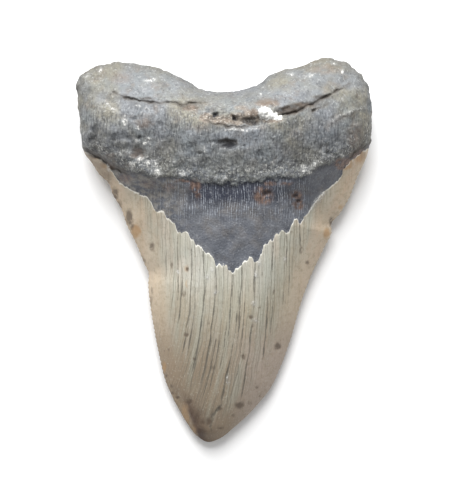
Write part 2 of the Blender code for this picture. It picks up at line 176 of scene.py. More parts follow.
# Foramina and scars, as (x, y, half width, half height, depth)
PIT_FLOOR, PIT_LIP = 0.35, 1.25
PITS = [
    (-2.7, 44.0, 0.85, 1.0, 1.5), (3.0, 42.7, 0.68, 0.95, 1.2), (3.6, 42.2, 0.8, 0.6, 0.7),
    (7.2, 42.0, 1.8, 1.1, 0.8), (9.6, 41.6, 1.7, 1.3, 0.9), (9.4, 44.4, 0.8, 1.5, 0.4),
    (19.4, 44.8, 3.8, 2.0, 0.6), (23.4, 45.9, 3.4, 1.5, 0.55), (27.4, 47.3, 3.0, 1.1, 0.6),
    (31.4, 49.5, 3.2, 0.9, 0.45), (1.6, 34.2, 3.0, 1.4, 1.3), (-2.2, 35.0, 2.2, 0.8, 0.5),
    (0.2, 35.3, 1.9, 0.6, 0.7), (13.9, 18.8, 1.5, 1.1, 0.9), (23.1, 18.3, 1.3, 0.9, 1.0),
    (24.1, 16.3, 1.2, 0.6, 0.9), (29.2, 45.6, 0.6, 0.6, 0.8), (-27.0, 36.5, 0.9, 0.8, 0.8),
    (-18.6, 33.4, 1.2, 2.0, 0.6), (-17.2, 34.4, 0.7, 1.3, 0.5), (-7.6, 31.2, 0.7, 0.6, 0.6),
    (-41.9, 39.4, 1.4, 2.0, 0.6), (-42.3, 36.7, 1.0, 1.0, 0.6), (-40.3, 35.3, 1.0, 1.0, 0.5),
    (-42.1, 33.2, 1.0, 1.3, 0.6), (-38.7, 32.5, 1.0, 1.0, 0.45), (-35.9, 34.9, 1.0, 1.7, 0.4),
    (-34.4, 33.0, 1.6, 1.4, 0.5), (-30.7, 36.1, 1.0, 1.0, 0.4), (-28.8, 42.8, 1.0, 0.8, 0.3),
    (-20.4, 40.8, 0.7, 0.8, 0.3), (16.3, 37.5, 0.8, 0.8, 0.4), (31.4, 32.9, 0.8, 1.6, 0.4),
    (37.4, 35.6, 1.3, 1.0, 0.4), (34.0, 31.6, 1.0, 0.8, 0.5), (40.2, 37.9, 1.7, 1.3, 0.4),
    (42.3, 42.2, 1.3, 1.3, 0.3), (11.5, 31.5, 1.3, 1.3, 0.3), (6.7, 34.0, 1.0, 0.5, 0.3),
    (-27.8, 31.9, 1.9, 2.6, 0.8), (-31.2, 33.6, 1.1, 1.6, 0.5), (-21.2, 31.4, 1.1, 2.6, 0.4),
    (-42.4, 36.8, 1.8, 3.2, 0.8), (-34.0, 36.8, 5.0, 1.7, 0.45), (-36.6, 32.6, 1.6, 1.6, 0.4),
]

# The worn facet left of the tip, the gouge in the tip and the lumps of the crust in the groove
FACET_RIDGE = ((-13.0, -47.7), (-7.4, -63.5))
FACET_SLOPE = 0.45
FACET_START, FACET_FULL = -44.0, -50.0
FACET_SOFTNESS = 0.7
RIDGE_DARKENING_REACH = 3.4  # how far the dark brown band along the facet's ridge fades over the crown
GOUGE = ([(-0.8, -50.4), (-2.0, -52.0), (-3.4, -54.0), (-4.3, -56.4), (-4.2, -59.4)], 0.5, 0.3)
CRUST = [(13.0, 44.7, 2.1, 1.9), (13.4, 43.2, 2.0, 1.2), (15.3, 43.6, 2.2, 1.5), (17.2, 42.7, 1.6, 0.8)]
CRUST_HEIGHT = 1.4
CRUST_RISE, CRUST_GRAIN_RISE = (-0.2, 1.8), (-0.1, 0.6)

# Growth lines: upright over most of the crown, and leaning left in its lower part
LEAN_START, LEAN_RATE, LEAN_SPAN = -8.0, 0.0036, 35.0

# The crown's open cracks: growth line, top, bottom and half width
ENAMEL_CRACKS = [
    (-19.0, 0.2, -13.0, 0.16), (-15.0, 5.0, -18.0, 0.18), (-13.7, -5.0, -27.0, 0.24),
    (-10.8, 1.5, -35.0, 0.25), (-9.2, -12.0, -36.5, 0.22), (-6.4, 1.0, -43.0, 0.30),
    (-5.7, -36.0, -43.0, 0.18), (-2.8, -3.0, -45.0, 0.32), (-0.9, -28.0, -49.5, 0.27),
    (0.2, -28.0, -47.0, 0.20), (1.8, -23.0, -40.0, 0.20), (2.5, -5.6, -29.5, 0.28),
    (4.7, -19.5, -25.5, 0.30), (5.6, -4.5, -29.5, 0.27), (4.5, -29.5, -51.0, 0.33),
    (7.2, -16.0, -43.5, 0.26), (10.2, -2.0, -16.0, 0.34), (11.0, -1.5, -7.0, 0.24),
    (9.7, -24.5, -49.5, 0.30), (12.1, -1.5, -11.5, 0.18), (14.5, -14.5, -36.5, 0.28),
    (15.6, 4.0, -9.0, 0.26), (16.1, -15.0, -31.5, 0.19), (20.3, 7.5, -6.0, 0.24),
    (21.4, -7.0, -16.0, 0.22), (24.9, 10.5, -0.5, 0.25), (19.4, -11.5, -20.0, 0.17),
    (18.0, -23.5, -27.5, 0.17),
]
CRACK_OPENING = 0.8  # the share of its widest that a crack stays open on the whole
ENAMEL_CRACK_DEPTH = 0.7  # in half widths
CRACK_WANDERS = ((9.0, 0.45), (2.6, 0.16))
CRACK_SWELLS = (3.4, 0.8)  # how its width varies on its way
DRIFT_LAYER, SWELL_LAYER, FIRST_SWELL = 7.3, 3.1, 50  # each crack's own layer of the noise
CRACK_LOW_RUN, CRACK_PAST_TOP = 4.0, 0.5  # how long it narrows downwards, and how far it runs on past its top

# Stains: x, y, half width, half height, strength
BROWN_SPOTS = [
    (-12.2, -27.2, 0.9, 0.8, 0.8), (-11.8, -5.8, 0.8, 1.0, 0.9), (-17.3, -4.7, 0.5, 1.1, 0.6),
    (-23.6, 1.5, 1.2, 1.7, 0.7), (-23.8, -13.0, 0.5, 1.3, 0.5), (-19.8, -33.2, 0.5, 0.4, 0.5),
    (-18.3, -32.1, 0.5, 0.5, 0.6), (-15.4, -48.5, 0.9, 0.7, 0.8), (-19.0, -41.2, 0.6, 0.5, 0.8),
    (-17.7, -44.9, 0.7, 0.7, 0.6), (17.9, -31.4, 1.4, 1.3, 0.9), (8.7, -21.4, 0.9, 0.9, 0.9),
    (9.4, -24.5, 0.7, 0.6, 0.7), (6.4, -34.7, 1.0, 0.8, 0.8), (5.1, -50.8, 1.9, 1.3, 0.8),
    (11.0, -44.9, 0.7, 0.6, 0.7), (11.9, -47.8, 0.4, 0.5, 0.5), (25.3, 0.5, 0.7, 1.3, 0.7),
    (27.6, -3.8, 0.7, 0.7, 0.7), (22.1, 6.2, 0.5, 0.5, 0.6), (16.5, -13.5, 0.6, 0.7, 0.6),
    (-9.8, -35.4, 0.8, 0.7, 0.8), (-3.6, -38.0, 0.5, 0.6, 0.6), (11.7, -18.7, 0.7, 0.5, 0.5),
    (-1.4, -52.0, 1.2, 0.9, 0.8), (-7.2, -56.5, 1.0, 1.0, 0.6), (-5.0, -23.0, 0.5, 0.7, 0.5),
    (-11.3, -49.6, 1.2, 1.1, 0.7), (-1.2, -58.4, 1.4, 0.4, 0.6), (8.7, -50.2, 0.9, 0.7, 0.5),
    (-44.4, 30.4, 3.4, 2.4, 0.5), (-41.6, 28.0, 3.8, 3.0, 0.5), (-39.4, 24.4, 3.2, 4.0, 0.5),
    (-36.2, 18.8, 1.5, 2.6, 0.9), (-34.9, 15.3, 1.0, 2.0, 0.7), (-31.4, 11.0, 1.5, 3.0, 0.9),
    (-30.4, 8.0, 0.8, 1.2, 0.7), (45.6, 32.2, 1.8, 2.6, 0.3), (35.6, 9.8, 0.8, 1.9, 0.9),
    (-26.9, -3.2, 1.0, 2.2, 0.5), (-24.4, -16.5, 0.7, 2.4, 0.4), (-5.2, -56.2, 1.5, 1.1, 0.7),
    (-8.8, -54.4, 1.1, 1.4, 0.5), (3.0, -54.6, 0.7, 0.6, 0.5), (-16.9, -47.0, 0.6, 0.8, 0.7),
    (-13.0, -14.0, 0.6, 1.4, 0.5), (21.0, -33.6, 0.7, 0.5, 0.5), (-8.0, -54.8, 2.8, 3.6, 0.3),
    (-7.6, -60.2, 2.0, 2.8, 0.7), (20.6, 45.4, 4.4, 1.7, 0.9), (13.9, 48.4, 4.8, 1.6, 0.55),
    (25.4, 47.0, 4.0, 1.1, 0.8), (31.2, 49.8, 3.6, 0.9, 0.4), (9.4, 45.0, 1.2, 1.4, 0.5),
]
BROWN_DEPTH = 0.12
WHITE_FLECKS = [  # x, y, half width, half height
    (-2.9, -13.1, 0.6, 0.6), (-3.9, -5.9, 0.4, 0.4), (-5.5, -8.2, 0.5, 0.5), (10.4, -7.6, 0.4, 1.1),
    (9.7, -16.7, 0.7, 0.7), (9.8, -22.4, 0.6, 0.4), (1.3, -41.8, 0.35, 1.1), (20.0, -2.4, 0.3, 0.6),
    (-15.0, -6.6, 0.4, 0.4), (11.3, -3.7, 0.35, 0.8), (-31.9, 41.4, 0.7, 1.4), (-24.2, 55.7, 1.4, 0.5),
    (-25.7, 34.5, 0.6, 0.7), (-24.0, 34.5, 0.6, 0.8), (-26.9, 29.7, 1.0, 0.9), (-24.7, 28.1, 0.9, 1.1),
    (-21.6, 25.0, 1.0, 1.6), (-22.1, 28.4, 0.6, 0.9), (-29.9, 27.6, 0.7, 1.1), (-38.0, 27.3, 0.5, 1.0),
    (25.7, 26.5, 0.7, 1.4), (29.2, 27.5, 0.6, 1.1), (27.6, 25.3, 0.9, 0.7), (35.4, 30.4, 0.7, 0.6),
    (38.4, 31.0, 0.6, 0.5), (28.3, 57.1, 1.0, 0.6), (-13.4, 24.9, 0.7, 0.5), (0.3, 23.3, 0.5, 0.4),
    (1.9, 39.1, 1.6, 0.5), (-6.4, 32.7, 0.5, 0.6), (-40.7, 59.4, 0.5, 0.7), (-44.9, 57.4, 0.4, 0.4),
    (-27.6, 47.2, 0.7, 0.35), (-24.9, 45.7, 0.7, 0.35), (22.3, 58.1, 0.6, 0.5), (38.8, 59.0, 0.5, 0.5),
    (36.2, 61.6, 0.6, 0.35), (11.8, 50.8, 0.25, 0.5), (-24.2, 36.1, 0.9, 0.4), (-27.8, 35.2, 0.8, 0.3),
    (-27.9, 39.6, 0.4, 0.6),
]
RUST_PATCHES = [
    (-9.4, 21.2, 2.0, 2.4, 0.9), (-8.4, 18.6, 1.0, 1.6, 0.7), (12.6, 17.9, 3.6, 2.9, 1.0),
    (14.8, 21.8, 2.2, 1.0, 0.8), (23.4, 18.0, 2.3, 1.9, 0.8), (24.3, 15.2, 2.2, 1.6, 0.9),
    (-29.2, 6.6, 1.9, 2.4, 1.1), (-12.9, -54.0, 1.7, 5.4, 0.5), (-9.6, -59.4, 1.4, 2.6, 0.5),
    (39.2, 28.4, 3.2, 2.0, 1.4), (20.2, 21.9, 2.6, 0.6, 0.5), (-38.2, 28.0, 3.4, 1.2, 0.9),
    (-32.6, 23.8, 2.8, 1.8, 0.45), (-24.6, 21.8, 3.2, 1.8, 0.3), (-17.6, 20.8, 2.6, 1.8, 0.35),
    (-19.8, -38.5, 0.9, 2.3, 0.7), (38.6, 14.4, 1.0, 1.2, 0.7), (34.0, 6.1, 1.2, 2.3, 1.0),
    (14.1, 48.0, 4.2, 1.2, 0.5), (-11.5, 46.1, 2.6, 1.0, 0.4), (40.2, 29.4, 2.4, 1.4, 1.3),
    (42.4, 31.0, 2.2, 1.3, 1.1), (44.6, 31.2, 2.2, 3.0, 0.9), (-13.5, 22.7, 3.3, 0.5, 0.6),
    (-12.3, -5.6, 1.1, 1.5, 0.6), (-12.3, -10.8, 0.5, 1.8, 0.5), (-42.2, 30.6, 1.8, 0.6, 0.6),
    (9.9, 44.3, 1.8, 1.3, 0.6), (6.7, 45.7, 1.8, 1.0, 0.4), (-35.8, 29.3, 1.0, 0.7, 0.5),
    (-25.9, 41.2, 3.4, 2.2, 0.5), (-27.8, 31.4, 2.6, 2.4, 0.7), (42.9, 37.5, 3.4, 4.5, 0.5),
    (-34.0, 56.5, 4.5, 2.5, 0.3), (33.0, 59.5, 6.0, 2.0, 0.4),
]
SEDIMENT = [
    (-10.5, 46.0, 3.4, 1.3, 0.6), (-5.6, 42.9, 3.0, 2.0, 0.9), (-0.8, 42.2, 3.6, 2.0, 1.0),
    (4.2, 42.6, 3.8, 2.4, 1.0), (8.6, 43.2, 3.8, 2.8, 1.0), (14.2, 47.4, 5.0, 1.5, 0.5),
    (15.5, 41.9, 4.4, 1.1, 0.7), (5.5, 46.4, 2.8, 1.2, 0.5), (-37.5, 30.8, 4.4, 1.4, 0.34),
    (-30.8, 27.8, 2.6, 1.2, 0.32),
]
# The stain tables, and the pits, whose depths also set how dark their painted shade is
STAINS_AND_PIT_SHADE = {"pit_shade": PITS, "brown": BROWN_SPOTS, "rust": RUST_PATCHES, "sediment": SEDIMENT}

# Lumps of the worn root and long swells of the crown, as wavelength and height
ROOT_LUMPS = ((17.0, 0.9), (7.5, 0.5), (4.0, 0.22))
ROOT_EDGE_LUMPS = (6.0, 0.35)
CROWN_SWELLS = ((3.6, 0.16), (8.0, 0.24))
CROWN_SWELL_STRETCH = 9.0
LABIAL_DISH = (0.0, 24.0, 27.0, 9.0, 1.3)
LABIAL_LUMP_SHARE = 0.5
LABIAL_STEP_END = (40.0, 50.0)
RELIEF_MARGIN = 2.5
EDGE_REACH = 9.0  # how far in from the rim the enamel is smooth and stained

# Grain, raised along the surface's own normals: wavelength, height and how much longer than wide it is
ROOT_GRAINS = ((4.5, 0.45, 1.0), (2.6, 0.20, 1.0), (1.3, 0.20, 2.6), (0.9, 0.12, 1.0))
BAND_REACH = 9.0  # the crumbled band above the root's foot
BAND_GRAINS = ((2.4, 0.24, 1.4), (1.0, 0.28, 1.2))
BOURLETTE_GRAINS = ((2.6, 0.06, 1.0), (1.0, 0.05, 1.0))
ENAMEL_GRAINS = ((0.9, 0.035, 18.0),)
CRUST_GRAINS = ((1.6, 0.6, 1.0), (0.8, 0.5, 1.0))
RIM_WEAR = ((3.6, 0.3, 1.0), (1.9, 0.3, 1.0))  # knocks along the root's outline
RIM_WEAR_REACH = 3.0
STRIA_GRAIN = (0.8, 0.09, 7.0)
STRIA_BAND = (10.0, 24.0)
STRIA_RUNS = (5.0, 2.0)  # how long the band's lower and upper ends are
SERRATION_PITCH, SERRATION_DEPTH, SERRATION_REACH = 1.5, 0.16, 0.9
SERRATED = (-46.0, 30.0)
SERRATION_RUN = 6.0  # over which the serration fades at each end
BLADE_MIDDLE = 2.0  # the X that parts the left cutting edge from the right one

# Patches of noise in the finishes: colour, strength, spot size in millimetres, the noise where they begin
# and where they are full, the noise's offset, and how much longer than wide they are
ROOT_CLOUDS = (
    ("#797567", 0.9, 13.0, 0.42, 0.62), ("#697175", 0.55, 8.0, 0.48, 0.68, 31.0),
    ("#6A5C4E", 0.55, 5.0, 0.54, 0.72, 57.0), ("#3D3E41", 0.45, 3.2, 0.5, 0.72, 7.0),
)
ROOT_FIBRES = [("#2C2E32", 0.6, 0.5, 0.46, 0.62, 3.0, 6.0)]
ROOT_GRAIN_COLOURS = (
    ("#2C2C2F", 0.45, 0.8, 0.54, 0.68, 43.0, 1.6), ("#A5A6A6", 0.42, 0.7, 0.56, 0.72, 19.0, 1.6),
)
FOOT_PATCHES = (
    ("#3A3B3F", 0.4, 2.0, 0.46, 0.64, 9.0), ("#85867F", 0.55, 0.9, 0.46, 0.66, 77.0, 1.3),
    ("#2C2D31", 0.58, 0.6, 0.55, 0.66, 64.0, 1.5), ("#C4C5C3", 0.6, 0.5, 0.58, 0.68, 88.0, 1.4),
)
FOOT_CRUMBS = [("#D6D5CF", 0.8, 0.6, 0.55, 0.66, 11.0, 1.5)]
GROOVE_PATCHES = (
    ("#433A32", 1.0, 1.5, 0.42, 0.58, 5.0), ("#7E6E61", 0.4, 3.5, 0.5, 0.64, 62.0),
    ("#B9B5AE", 0.6, 0.7, 0.54, 0.66, 8.0),
)
BOURLETTE_CLOUDS = (
    ("#74767A", 0.55, 9.0, 0.45, 0.64), ("#66605A", 0.5, 4.5, 0.5, 0.68, 71.0),
    ("#43464E", 0.5, 3.0, 0.5, 0.7, 5.0),
)
BOURLETTE_LEFT_PATCHES = (
    ("#8B8780", 0.75, 2.6, 0.42, 0.58, 40.0, 0.8), ("#3B3937", 0.42, 1.7, 0.48, 0.62, 83.0, 0.8),
)
BOURLETTE_GRAIN_COLOURS = (
    ("#9A9B9E", 0.45, 0.65, 0.57, 0.72, 13.0), ("#2F3138", 0.5, 0.65, 0.56, 0.72, 28.0),
)
CROWN_STREAKS = (
    ("#857E6C", 0.4, 1.1, 0.5, 0.72, 3.0, 18.0), ("#A0A396", 0.4, 2.8, 0.47, 0.62, 37.0, 10.0),
    ("#C9C8BC", 0.25, 0.9, 0.56, 0.76, 9.0, 14.0),
)
CROWN_GRAIN_COLOURS = (
    ("#706757", 0.3, 0.7, 0.57, 0.7, 54.0), ("#C4C0B2", 0.3, 0.7, 0.57, 0.7, 73.0),
)
CROWN_HAIRLINES = (  # colour, strength, spacing, half width, layer, run and the noise where they begin
    ("#605D52", 0.5, 1.4, 0.2, 21.0, 16.0, 0.38), ("#67635A", 0.38, 0.9, 0.16, 61.0, 12.0, 0.42),
    ("#7B7364", 0.25, 0.7, 0.15, 11.0),
)

# Soft tones in the finishes, among them painted shade and painted light: colour, strength, and ramps along an
# axis from nothing to full
ROOT_TONES_AND_PAINTED_SHADE = (
    ("#4E5257", 0.5, ("X", -17.0, -8.0), ("X", 20.0, 9.0), ("Y", 45.0, 51.0)),
    ("#7E868E", 0.3, ("X", -17.0, -8.0), ("X", 20.0, 9.0), ("Y", 42.0, 37.0)),
    # painted shade on the right lobe under its crack, where it faces down
    ("#4F5359", 0.3, ("X", 17.0, 25.0), ("X", 42.0, 34.0), ("Y", 53.0, 48.0)),
    # painted shade, darker towards the root's foot, which faces away from the light
    ("#38393D", 0.22, ("Y", 45.0, 33.0)),
)
# painted shade on the band under the root's overhanging foot
UNDER_ROOT_SHADE = ("#222738", 0.85, ("Y", 13.5, 17.5), ("X", -14.0, -8.0), ("X", 32.0, 8.0))
STRIA_BOUNDS = (("Y", 7.0, 15.0), ("X", -30.0, -10.0), ("X", 30.0, 24.0))
CROWN_SHADES = (
    ("#AEA095", 0.65, ("X", 0.0, 10.0), ("Y", -18.0, -38.0)),
    ("#7C6A55", 0.34, ("X", 2.0, -6.0), ("Y", -24.0, -38.0)),
)
# where painted light brightens the crown's upper middle
CROWN_PAINTED_LIGHT_BOUNDS = (("X", -25.0, -11.0), ("X", 23.0, 12.0))

# The mesh
GRID_COLUMNS = 290
GRID_ROWS = 288
TIP_FADE, LOBE_FADE = 4, 3
DENSITY_SAMPLES = 2000
RIM_CROWDING = ((0.02, 2.2), (0.002, 9.0))  # how near a rim, as a share of the tooth, and how much closer
ROOT_CROWDING, ROOT_ROWS_START, ROOT_ROWS_FULL = 0.8, 0.60, 0.70
LABIAL_KEPT = 0.18  # the share of the flatter labial face's triangles that stays
RIM_REACH = 1e-4
RIM_MERGE = 1e-7

# The studio, in metres
FLOOR_HALF = 2.0
FLOOR_GAP = 0.1 * MM
LAMP_SIZE = 0.5
LAMP_PLACE = (-0.065, 0.5, 0.35)


def smooth_line(points):
    """Samples of a Catmull-Rom curve through the points, spaced by their chords."""
    p = np.array(points, float)
    t = np.concatenate([[0.0], np.cumsum(np.linalg.norm(np.diff(p, axis=0), axis=1))])
    slope = np.gradient(p, t, axis=0)
    share = np.linspace(0.0, 1.0, SPAN_SAMPLES, endpoint=False)[:, None]
    spans = []
    for i in range(len(p) - 1):
        chord = t[i + 1] - t[i]
        spans.append(
            (2 * share**3 - 3 * share**2 + 1) * p[i]
            + (share**3 - 2 * share**2 + share) * chord * slope[i]
            + (3 * share**2 - 2 * share**3) * p[i + 1]
            + (share**3 - share**2) * chord * slope[i + 1]
        )
    return np.concatenate([*spans, p[-1:]])


def height_on(line, x):
    """The second coordinate of a smooth line where its first is x."""
    samples = smooth_line(line)
    return np.interp(x, samples[:, 0], samples[:, 1])


def point_on(line, share):
    """Points at a share of the way along sampled points, by length."""
    length = np.concatenate([[0.0], np.cumsum(np.linalg.norm(np.diff(line, axis=0), axis=1))])
    at = share * length[-1]
    return np.stack([np.interp(at, length, line[:, k]) for k in range(2)], axis=-1)


def ramp(value, start, end):
    """0 before start, 1 after end and a smooth step between."""
    t = np.clip((value - start) / (end - start), 0.0, 1.0)
    return t * t * (3 - 2 * t)


def nearest_on(line, x, y):
    """How far each point is from a line of straight stretches, and how far along it, from 0 to 1."""
    distance = np.full(x.shape, np.inf)
    along = np.zeros(x.shape)
    stretches = list(zip(line[:-1], line[1:]))
    for i, ((ax, ay), (bx, by)) in enumerate(stretches):
        run_x, run_y = bx - ax, by - ay
        share = np.clip(((x - ax) * run_x + (y - ay) * run_y) / (run_x**2 + run_y**2), 0.0, 1.0)
        here = np.hypot(x - ax - share * run_x, y - ay - share * run_y)
        along = np.where(here < distance, (i + share) / len(stretches), along)
        distance = np.minimum(distance, here)
    return distance, along


def lumps(x, y, wavelength, height, stretch=1.0, layer=None):
    """Smooth noise of that wavelength across and, times stretch, along the tooth."""
    depth = wavelength if layer is None else layer
    places = zip((x / wavelength).tolist(), (y / (wavelength * stretch)).tolist())
    return height * np.array([noise.noise(Vector((a, b, depth))) for a, b in places])


def grains(places, wavelength, height, stretch):
    """The same through space, for roughness that runs round the sides as well."""
    scaled = (places / (wavelength, wavelength * stretch, wavelength)).tolist()
    return height * np.array([noise.noise(Vector(p)) for p in scaled])


def wander(y, wavelength, reach, layer):
    """A line's drift to the side on its way along the tooth."""
    steps = np.arange(-70.0, 70.0, wavelength / 6)
    drift = [noise.noise(Vector((s / wavelength, layer, 0.5))) for s in steps.tolist()]
    return reach * np.interp(y, steps, drift)


class Outline:
    """The tooth's outline, and where the points of a grid that is stretched over it lie."""

    def __init__(self):
        self.left = smooth_line(LEFT_EDGE)
        self.right = smooth_line(RIGHT_EDGE)
        self.tip = smooth_line(TIP_ARC)
        self.lobes = smooth_line(LOBE_LINE)
        self.loop = np.concatenate([self.tip, self.right, self.lobes[::-1], self.left[::-1]])
        self.loop = self.loop[np.linalg.norm(self.loop - np.roll(self.loop, 1, axis=0), axis=1) > 0]
        self.loop = np.concatenate([self.loop, self.loop[:1]])

    def place(self, across, along):
        """The point of the outline's inside at these shares, from left to right and from tip to root."""
        sides = []
        for side in (self.left, self.right):
            y = side[0, 1] + along * (side[-1, 1] - side[0, 1])
            sides.append(np.stack([np.interp(y, side[:, 1], side[:, 0]), y], axis=-1))
        across = across[:, None]
        along = along[:, None]
        between = sides[0] + across * (sides[1] - sides[0])
        for end, fade in ((self.tip, (1 - along) ** TIP_FADE), (self.lobes, along**LOBE_FADE)):
            straight = end[0] + across * (end[-1] - end[0])
            between += fade * (point_on(end, across[:, 0]) - straight)
        return between.T

    def half_width(self, y):
        """Half the crown's width at a height, without its notches, and nothing at the tip."""
        lowest = self.tip[:, 1].argmin()
        left = np.concatenate([self.tip[lowest::-1], self.left[1:]])
        right = np.concatenate([self.tip[lowest:], self.right[1:]])
        widths = [
            np.interp(y + shift, right[:, 1], right[:, 0]) - np.interp(y + shift, left[:, 1], left[:, 0])
            for shift in NOTCH_SHIFTS
        ]
        return np.mean(widths, axis=0) / 2


def blot(x, y, centre_x, centre_y, half_width, half_height, strength):
    """The strength of a round mark: full on its floor and nothing past its lip."""
    away = np.hypot((x - centre_x) / half_width, (y - centre_y) / half_height)
    return strength * (1 - ramp(away, PIT_FLOOR, PIT_LIP))


def inside_marks(x, y, marks):
    """How far inside the border of the nearest round mark each point is, in millimetres."""
    reach = np.full(x.shape, -1.0)
    for centre_x, centre_y, half_width, half_height in marks:
        away = np.hypot((x - centre_x) / half_width, (y - centre_y) / half_height)
        reach = np.maximum(reach, (1 - away) * math.sqrt(half_width * half_height))
    return reach


def inside_crack(x, y, line, half_width):
    """How far inside a crack's lips each point is, in millimetres; it narrows to nothing at its ends."""
    distance, along = nearest_on(smooth_line(line), x, y)
    taper = ramp(along, -TAPER_LEAD, TAPER_REACH) * (1 - ramp(along, 1 - TAPER_REACH, 1 + TAPER_LEAD))
    width = half_width * (TAPERED_SHARE + (1 - TAPERED_SHARE) * taper) * (1 + lumps(x, y, *PINCH))
    return width - distance


def growth_line(x, y):
    """Which growth line each point lies on, named by where that line crosses the upper crown."""
    lean = LEAN_RATE * np.maximum(LEAN_START - y, 0.0) ** 2
    return (x + lean) / (1 + lean / LEAN_SPAN)


def enamel_cracks(x, y):
    """How far inside one of the crown's cracks each point is, in millimetres, and how deep it lies there."""
    line = growth_line(x, y)
    reach = np.full(x.shape, -1.0)
    depth = np.zeros(x.shape)
    for i, (across, top, bottom, half_width) in enumerate(ENAMEL_CRACKS):
        drift = sum(wander(y, *drift, DRIFT_LAYER * i) for drift in CRACK_WANDERS)
        width = CRACK_OPENING * half_width * (1 + wander(y, *CRACK_SWELLS, SWELL_LAYER * i + FIRST_SWELL))
        width *= ramp(y, bottom, bottom + CRACK_LOW_RUN) * (1 - ramp(y, top - 1.0, top + CRACK_PAST_TOP))
        here = width - np.abs(line - across + drift)
        reach = np.maximum(reach, here)
        depth = np.maximum(depth, ENAMEL_CRACK_DEPTH * ramp(here, 0.0, half_width) * width)
    return reach, depth


def torn_cracks(x, y, cracks):
    """How far inside a crack's lips each point is, in millimetres, and how deep the cracks are there."""
    reach = np.full(x.shape, -1.0)
    depth = np.zeros(x.shape)
    for line, half_width, full_depth in cracks:
        inside = inside_crack(x, y, line, half_width)
        reach = np.maximum(reach, inside)
        depth += full_depth * ramp(inside, 0.0, half_width)
    return reach, depth


def lingual_form(x, y, root):
    """The lingual face's relief, and what the material reads: distances inside borders, soft stain marks, and
    the painted shade of the pits.
    """
    torn_x = x + sum(lumps(x, y, *tear, layer=1.0) for tear in TORN)
    torn_y = y + sum(lumps(x, y, *tear, layer=2.0) for tear in TORN)

    edge = np.interp(x + lumps(x, y, *ENAMEL_WOBBLE, layer=3.0), *np.array(ENAMEL_EDGE).T)
    split, split_depth = enamel_cracks(x, y)
    below_edge = edge - y + lumps(x, y, *ENAMEL_SPALLS, layer=8.0)
    below_edge -= ENAMEL_NOTCH * ramp(split, -NOTCH_REACH, 0.1)
    enamel = ramp(below_edge, -ENAMEL_STEP_RUN / 2, ENAMEL_STEP_RUN / 2)
    above_foot = y - height_on(ROOT_FOOT, x)
    for wavelength, reach in FOOT_WOBBLES:
        above_foot += lumps(x, y, wavelength, reach, layer=4.0)
    foot = ramp(above_foot, -ROOT_STEP_RUN / 2, ROOT_STEP_RUN / 2)
    relief = ENAMEL_STEP * (1 + lumps(x, y, *ENAMEL_CHIPS)) * (enamel - 1) + ROOT_STEP * foot

    distance, _ = nearest_on(smooth_line(NUTRIENT_GROOVE), torn_x, torn_y)
    relief -= NUTRIENT_GROOVE_DEPTH * (1 - ramp(distance, 0.0, NUTRIENT_GROOVE_HALF_WIDTH))
    gouged, gouge_depth = torn_cracks(torn_x, torn_y, [GOUGE])
    cracked, crack_depth = torn_cracks(torn_x, torn_y, ROOT_CRACKS)
    relief -= enamel * split_depth + gouge_depth + crack_depth
    split = np.maximum(np.where(below_edge > 0, split, -1.0), gouged)
    pale = inside_marks(torn_x, torn_y, WHITE_FLECKS)
    for line, half_width in PALE_LINES:
        pale = np.maximum(pale, inside_crack(torn_x, torn_y, line, half_width))
    relief += PALE_HEIGHT * ramp(pale, *PALE_RISE)
    crust = inside_marks(torn_x, torn_y, CRUST)
    relief += CRUST_HEIGHT * ramp(crust, *CRUST_RISE)

    stains_and_shade = {
        name: np.max([blot(torn_x, torn_y, *mark) for mark in marks], axis=0)
        for name, marks in STAINS_AND_PIT_SHADE.items()
    }
    relief -= np.sum([blot(torn_x, torn_y, *pit) for pit in PITS], axis=0)
    relief -= BROWN_DEPTH * stains_and_shade["brown"]

    (top_x, top_y), (low_x, low_y) = FACET_RIDGE
    beyond = top_x + (y - top_y) * (low_x - top_x) / (low_y - top_y) - torn_x
    fall = FACET_SOFTNESS * np.logaddexp(0.0, beyond / FACET_SOFTNESS)
    relief -= FACET_SLOPE * fall * ramp(y, FACET_START, FACET_FULL)
    stains_and_shade["ridge"] = np.exp(np.minimum(beyond, 0.0) / RIDGE_DARKENING_REACH) * (1 - ramp(beyond, -0.5, 1.7))
    stains_and_shade["ridge"] *= ramp(y, FACET_START, FACET_START + (low_y - FACET_START) / 2)

    for wavelength, height in ROOT_LUMPS:
        relief += root * lumps(x, y, wavelength, height)
    for wavelength, height in CROWN_SWELLS:
        relief += enamel * lumps(x, y, wavelength, height, CROWN_SWELL_STRETCH)
    borders = {
        "enamel": below_edge, "root": above_foot, "split": split, "cracked": cracked, "pale": pale,
        "crust": crust,
    }
    return relief, borders, stains_and_shade


def rounded(distance, width, power):
    """The share of its full height that a face has this far in from the rim."""
    return (1 - (1 - np.clip(distance / width, 0.0, 1.0)) ** 2) ** power


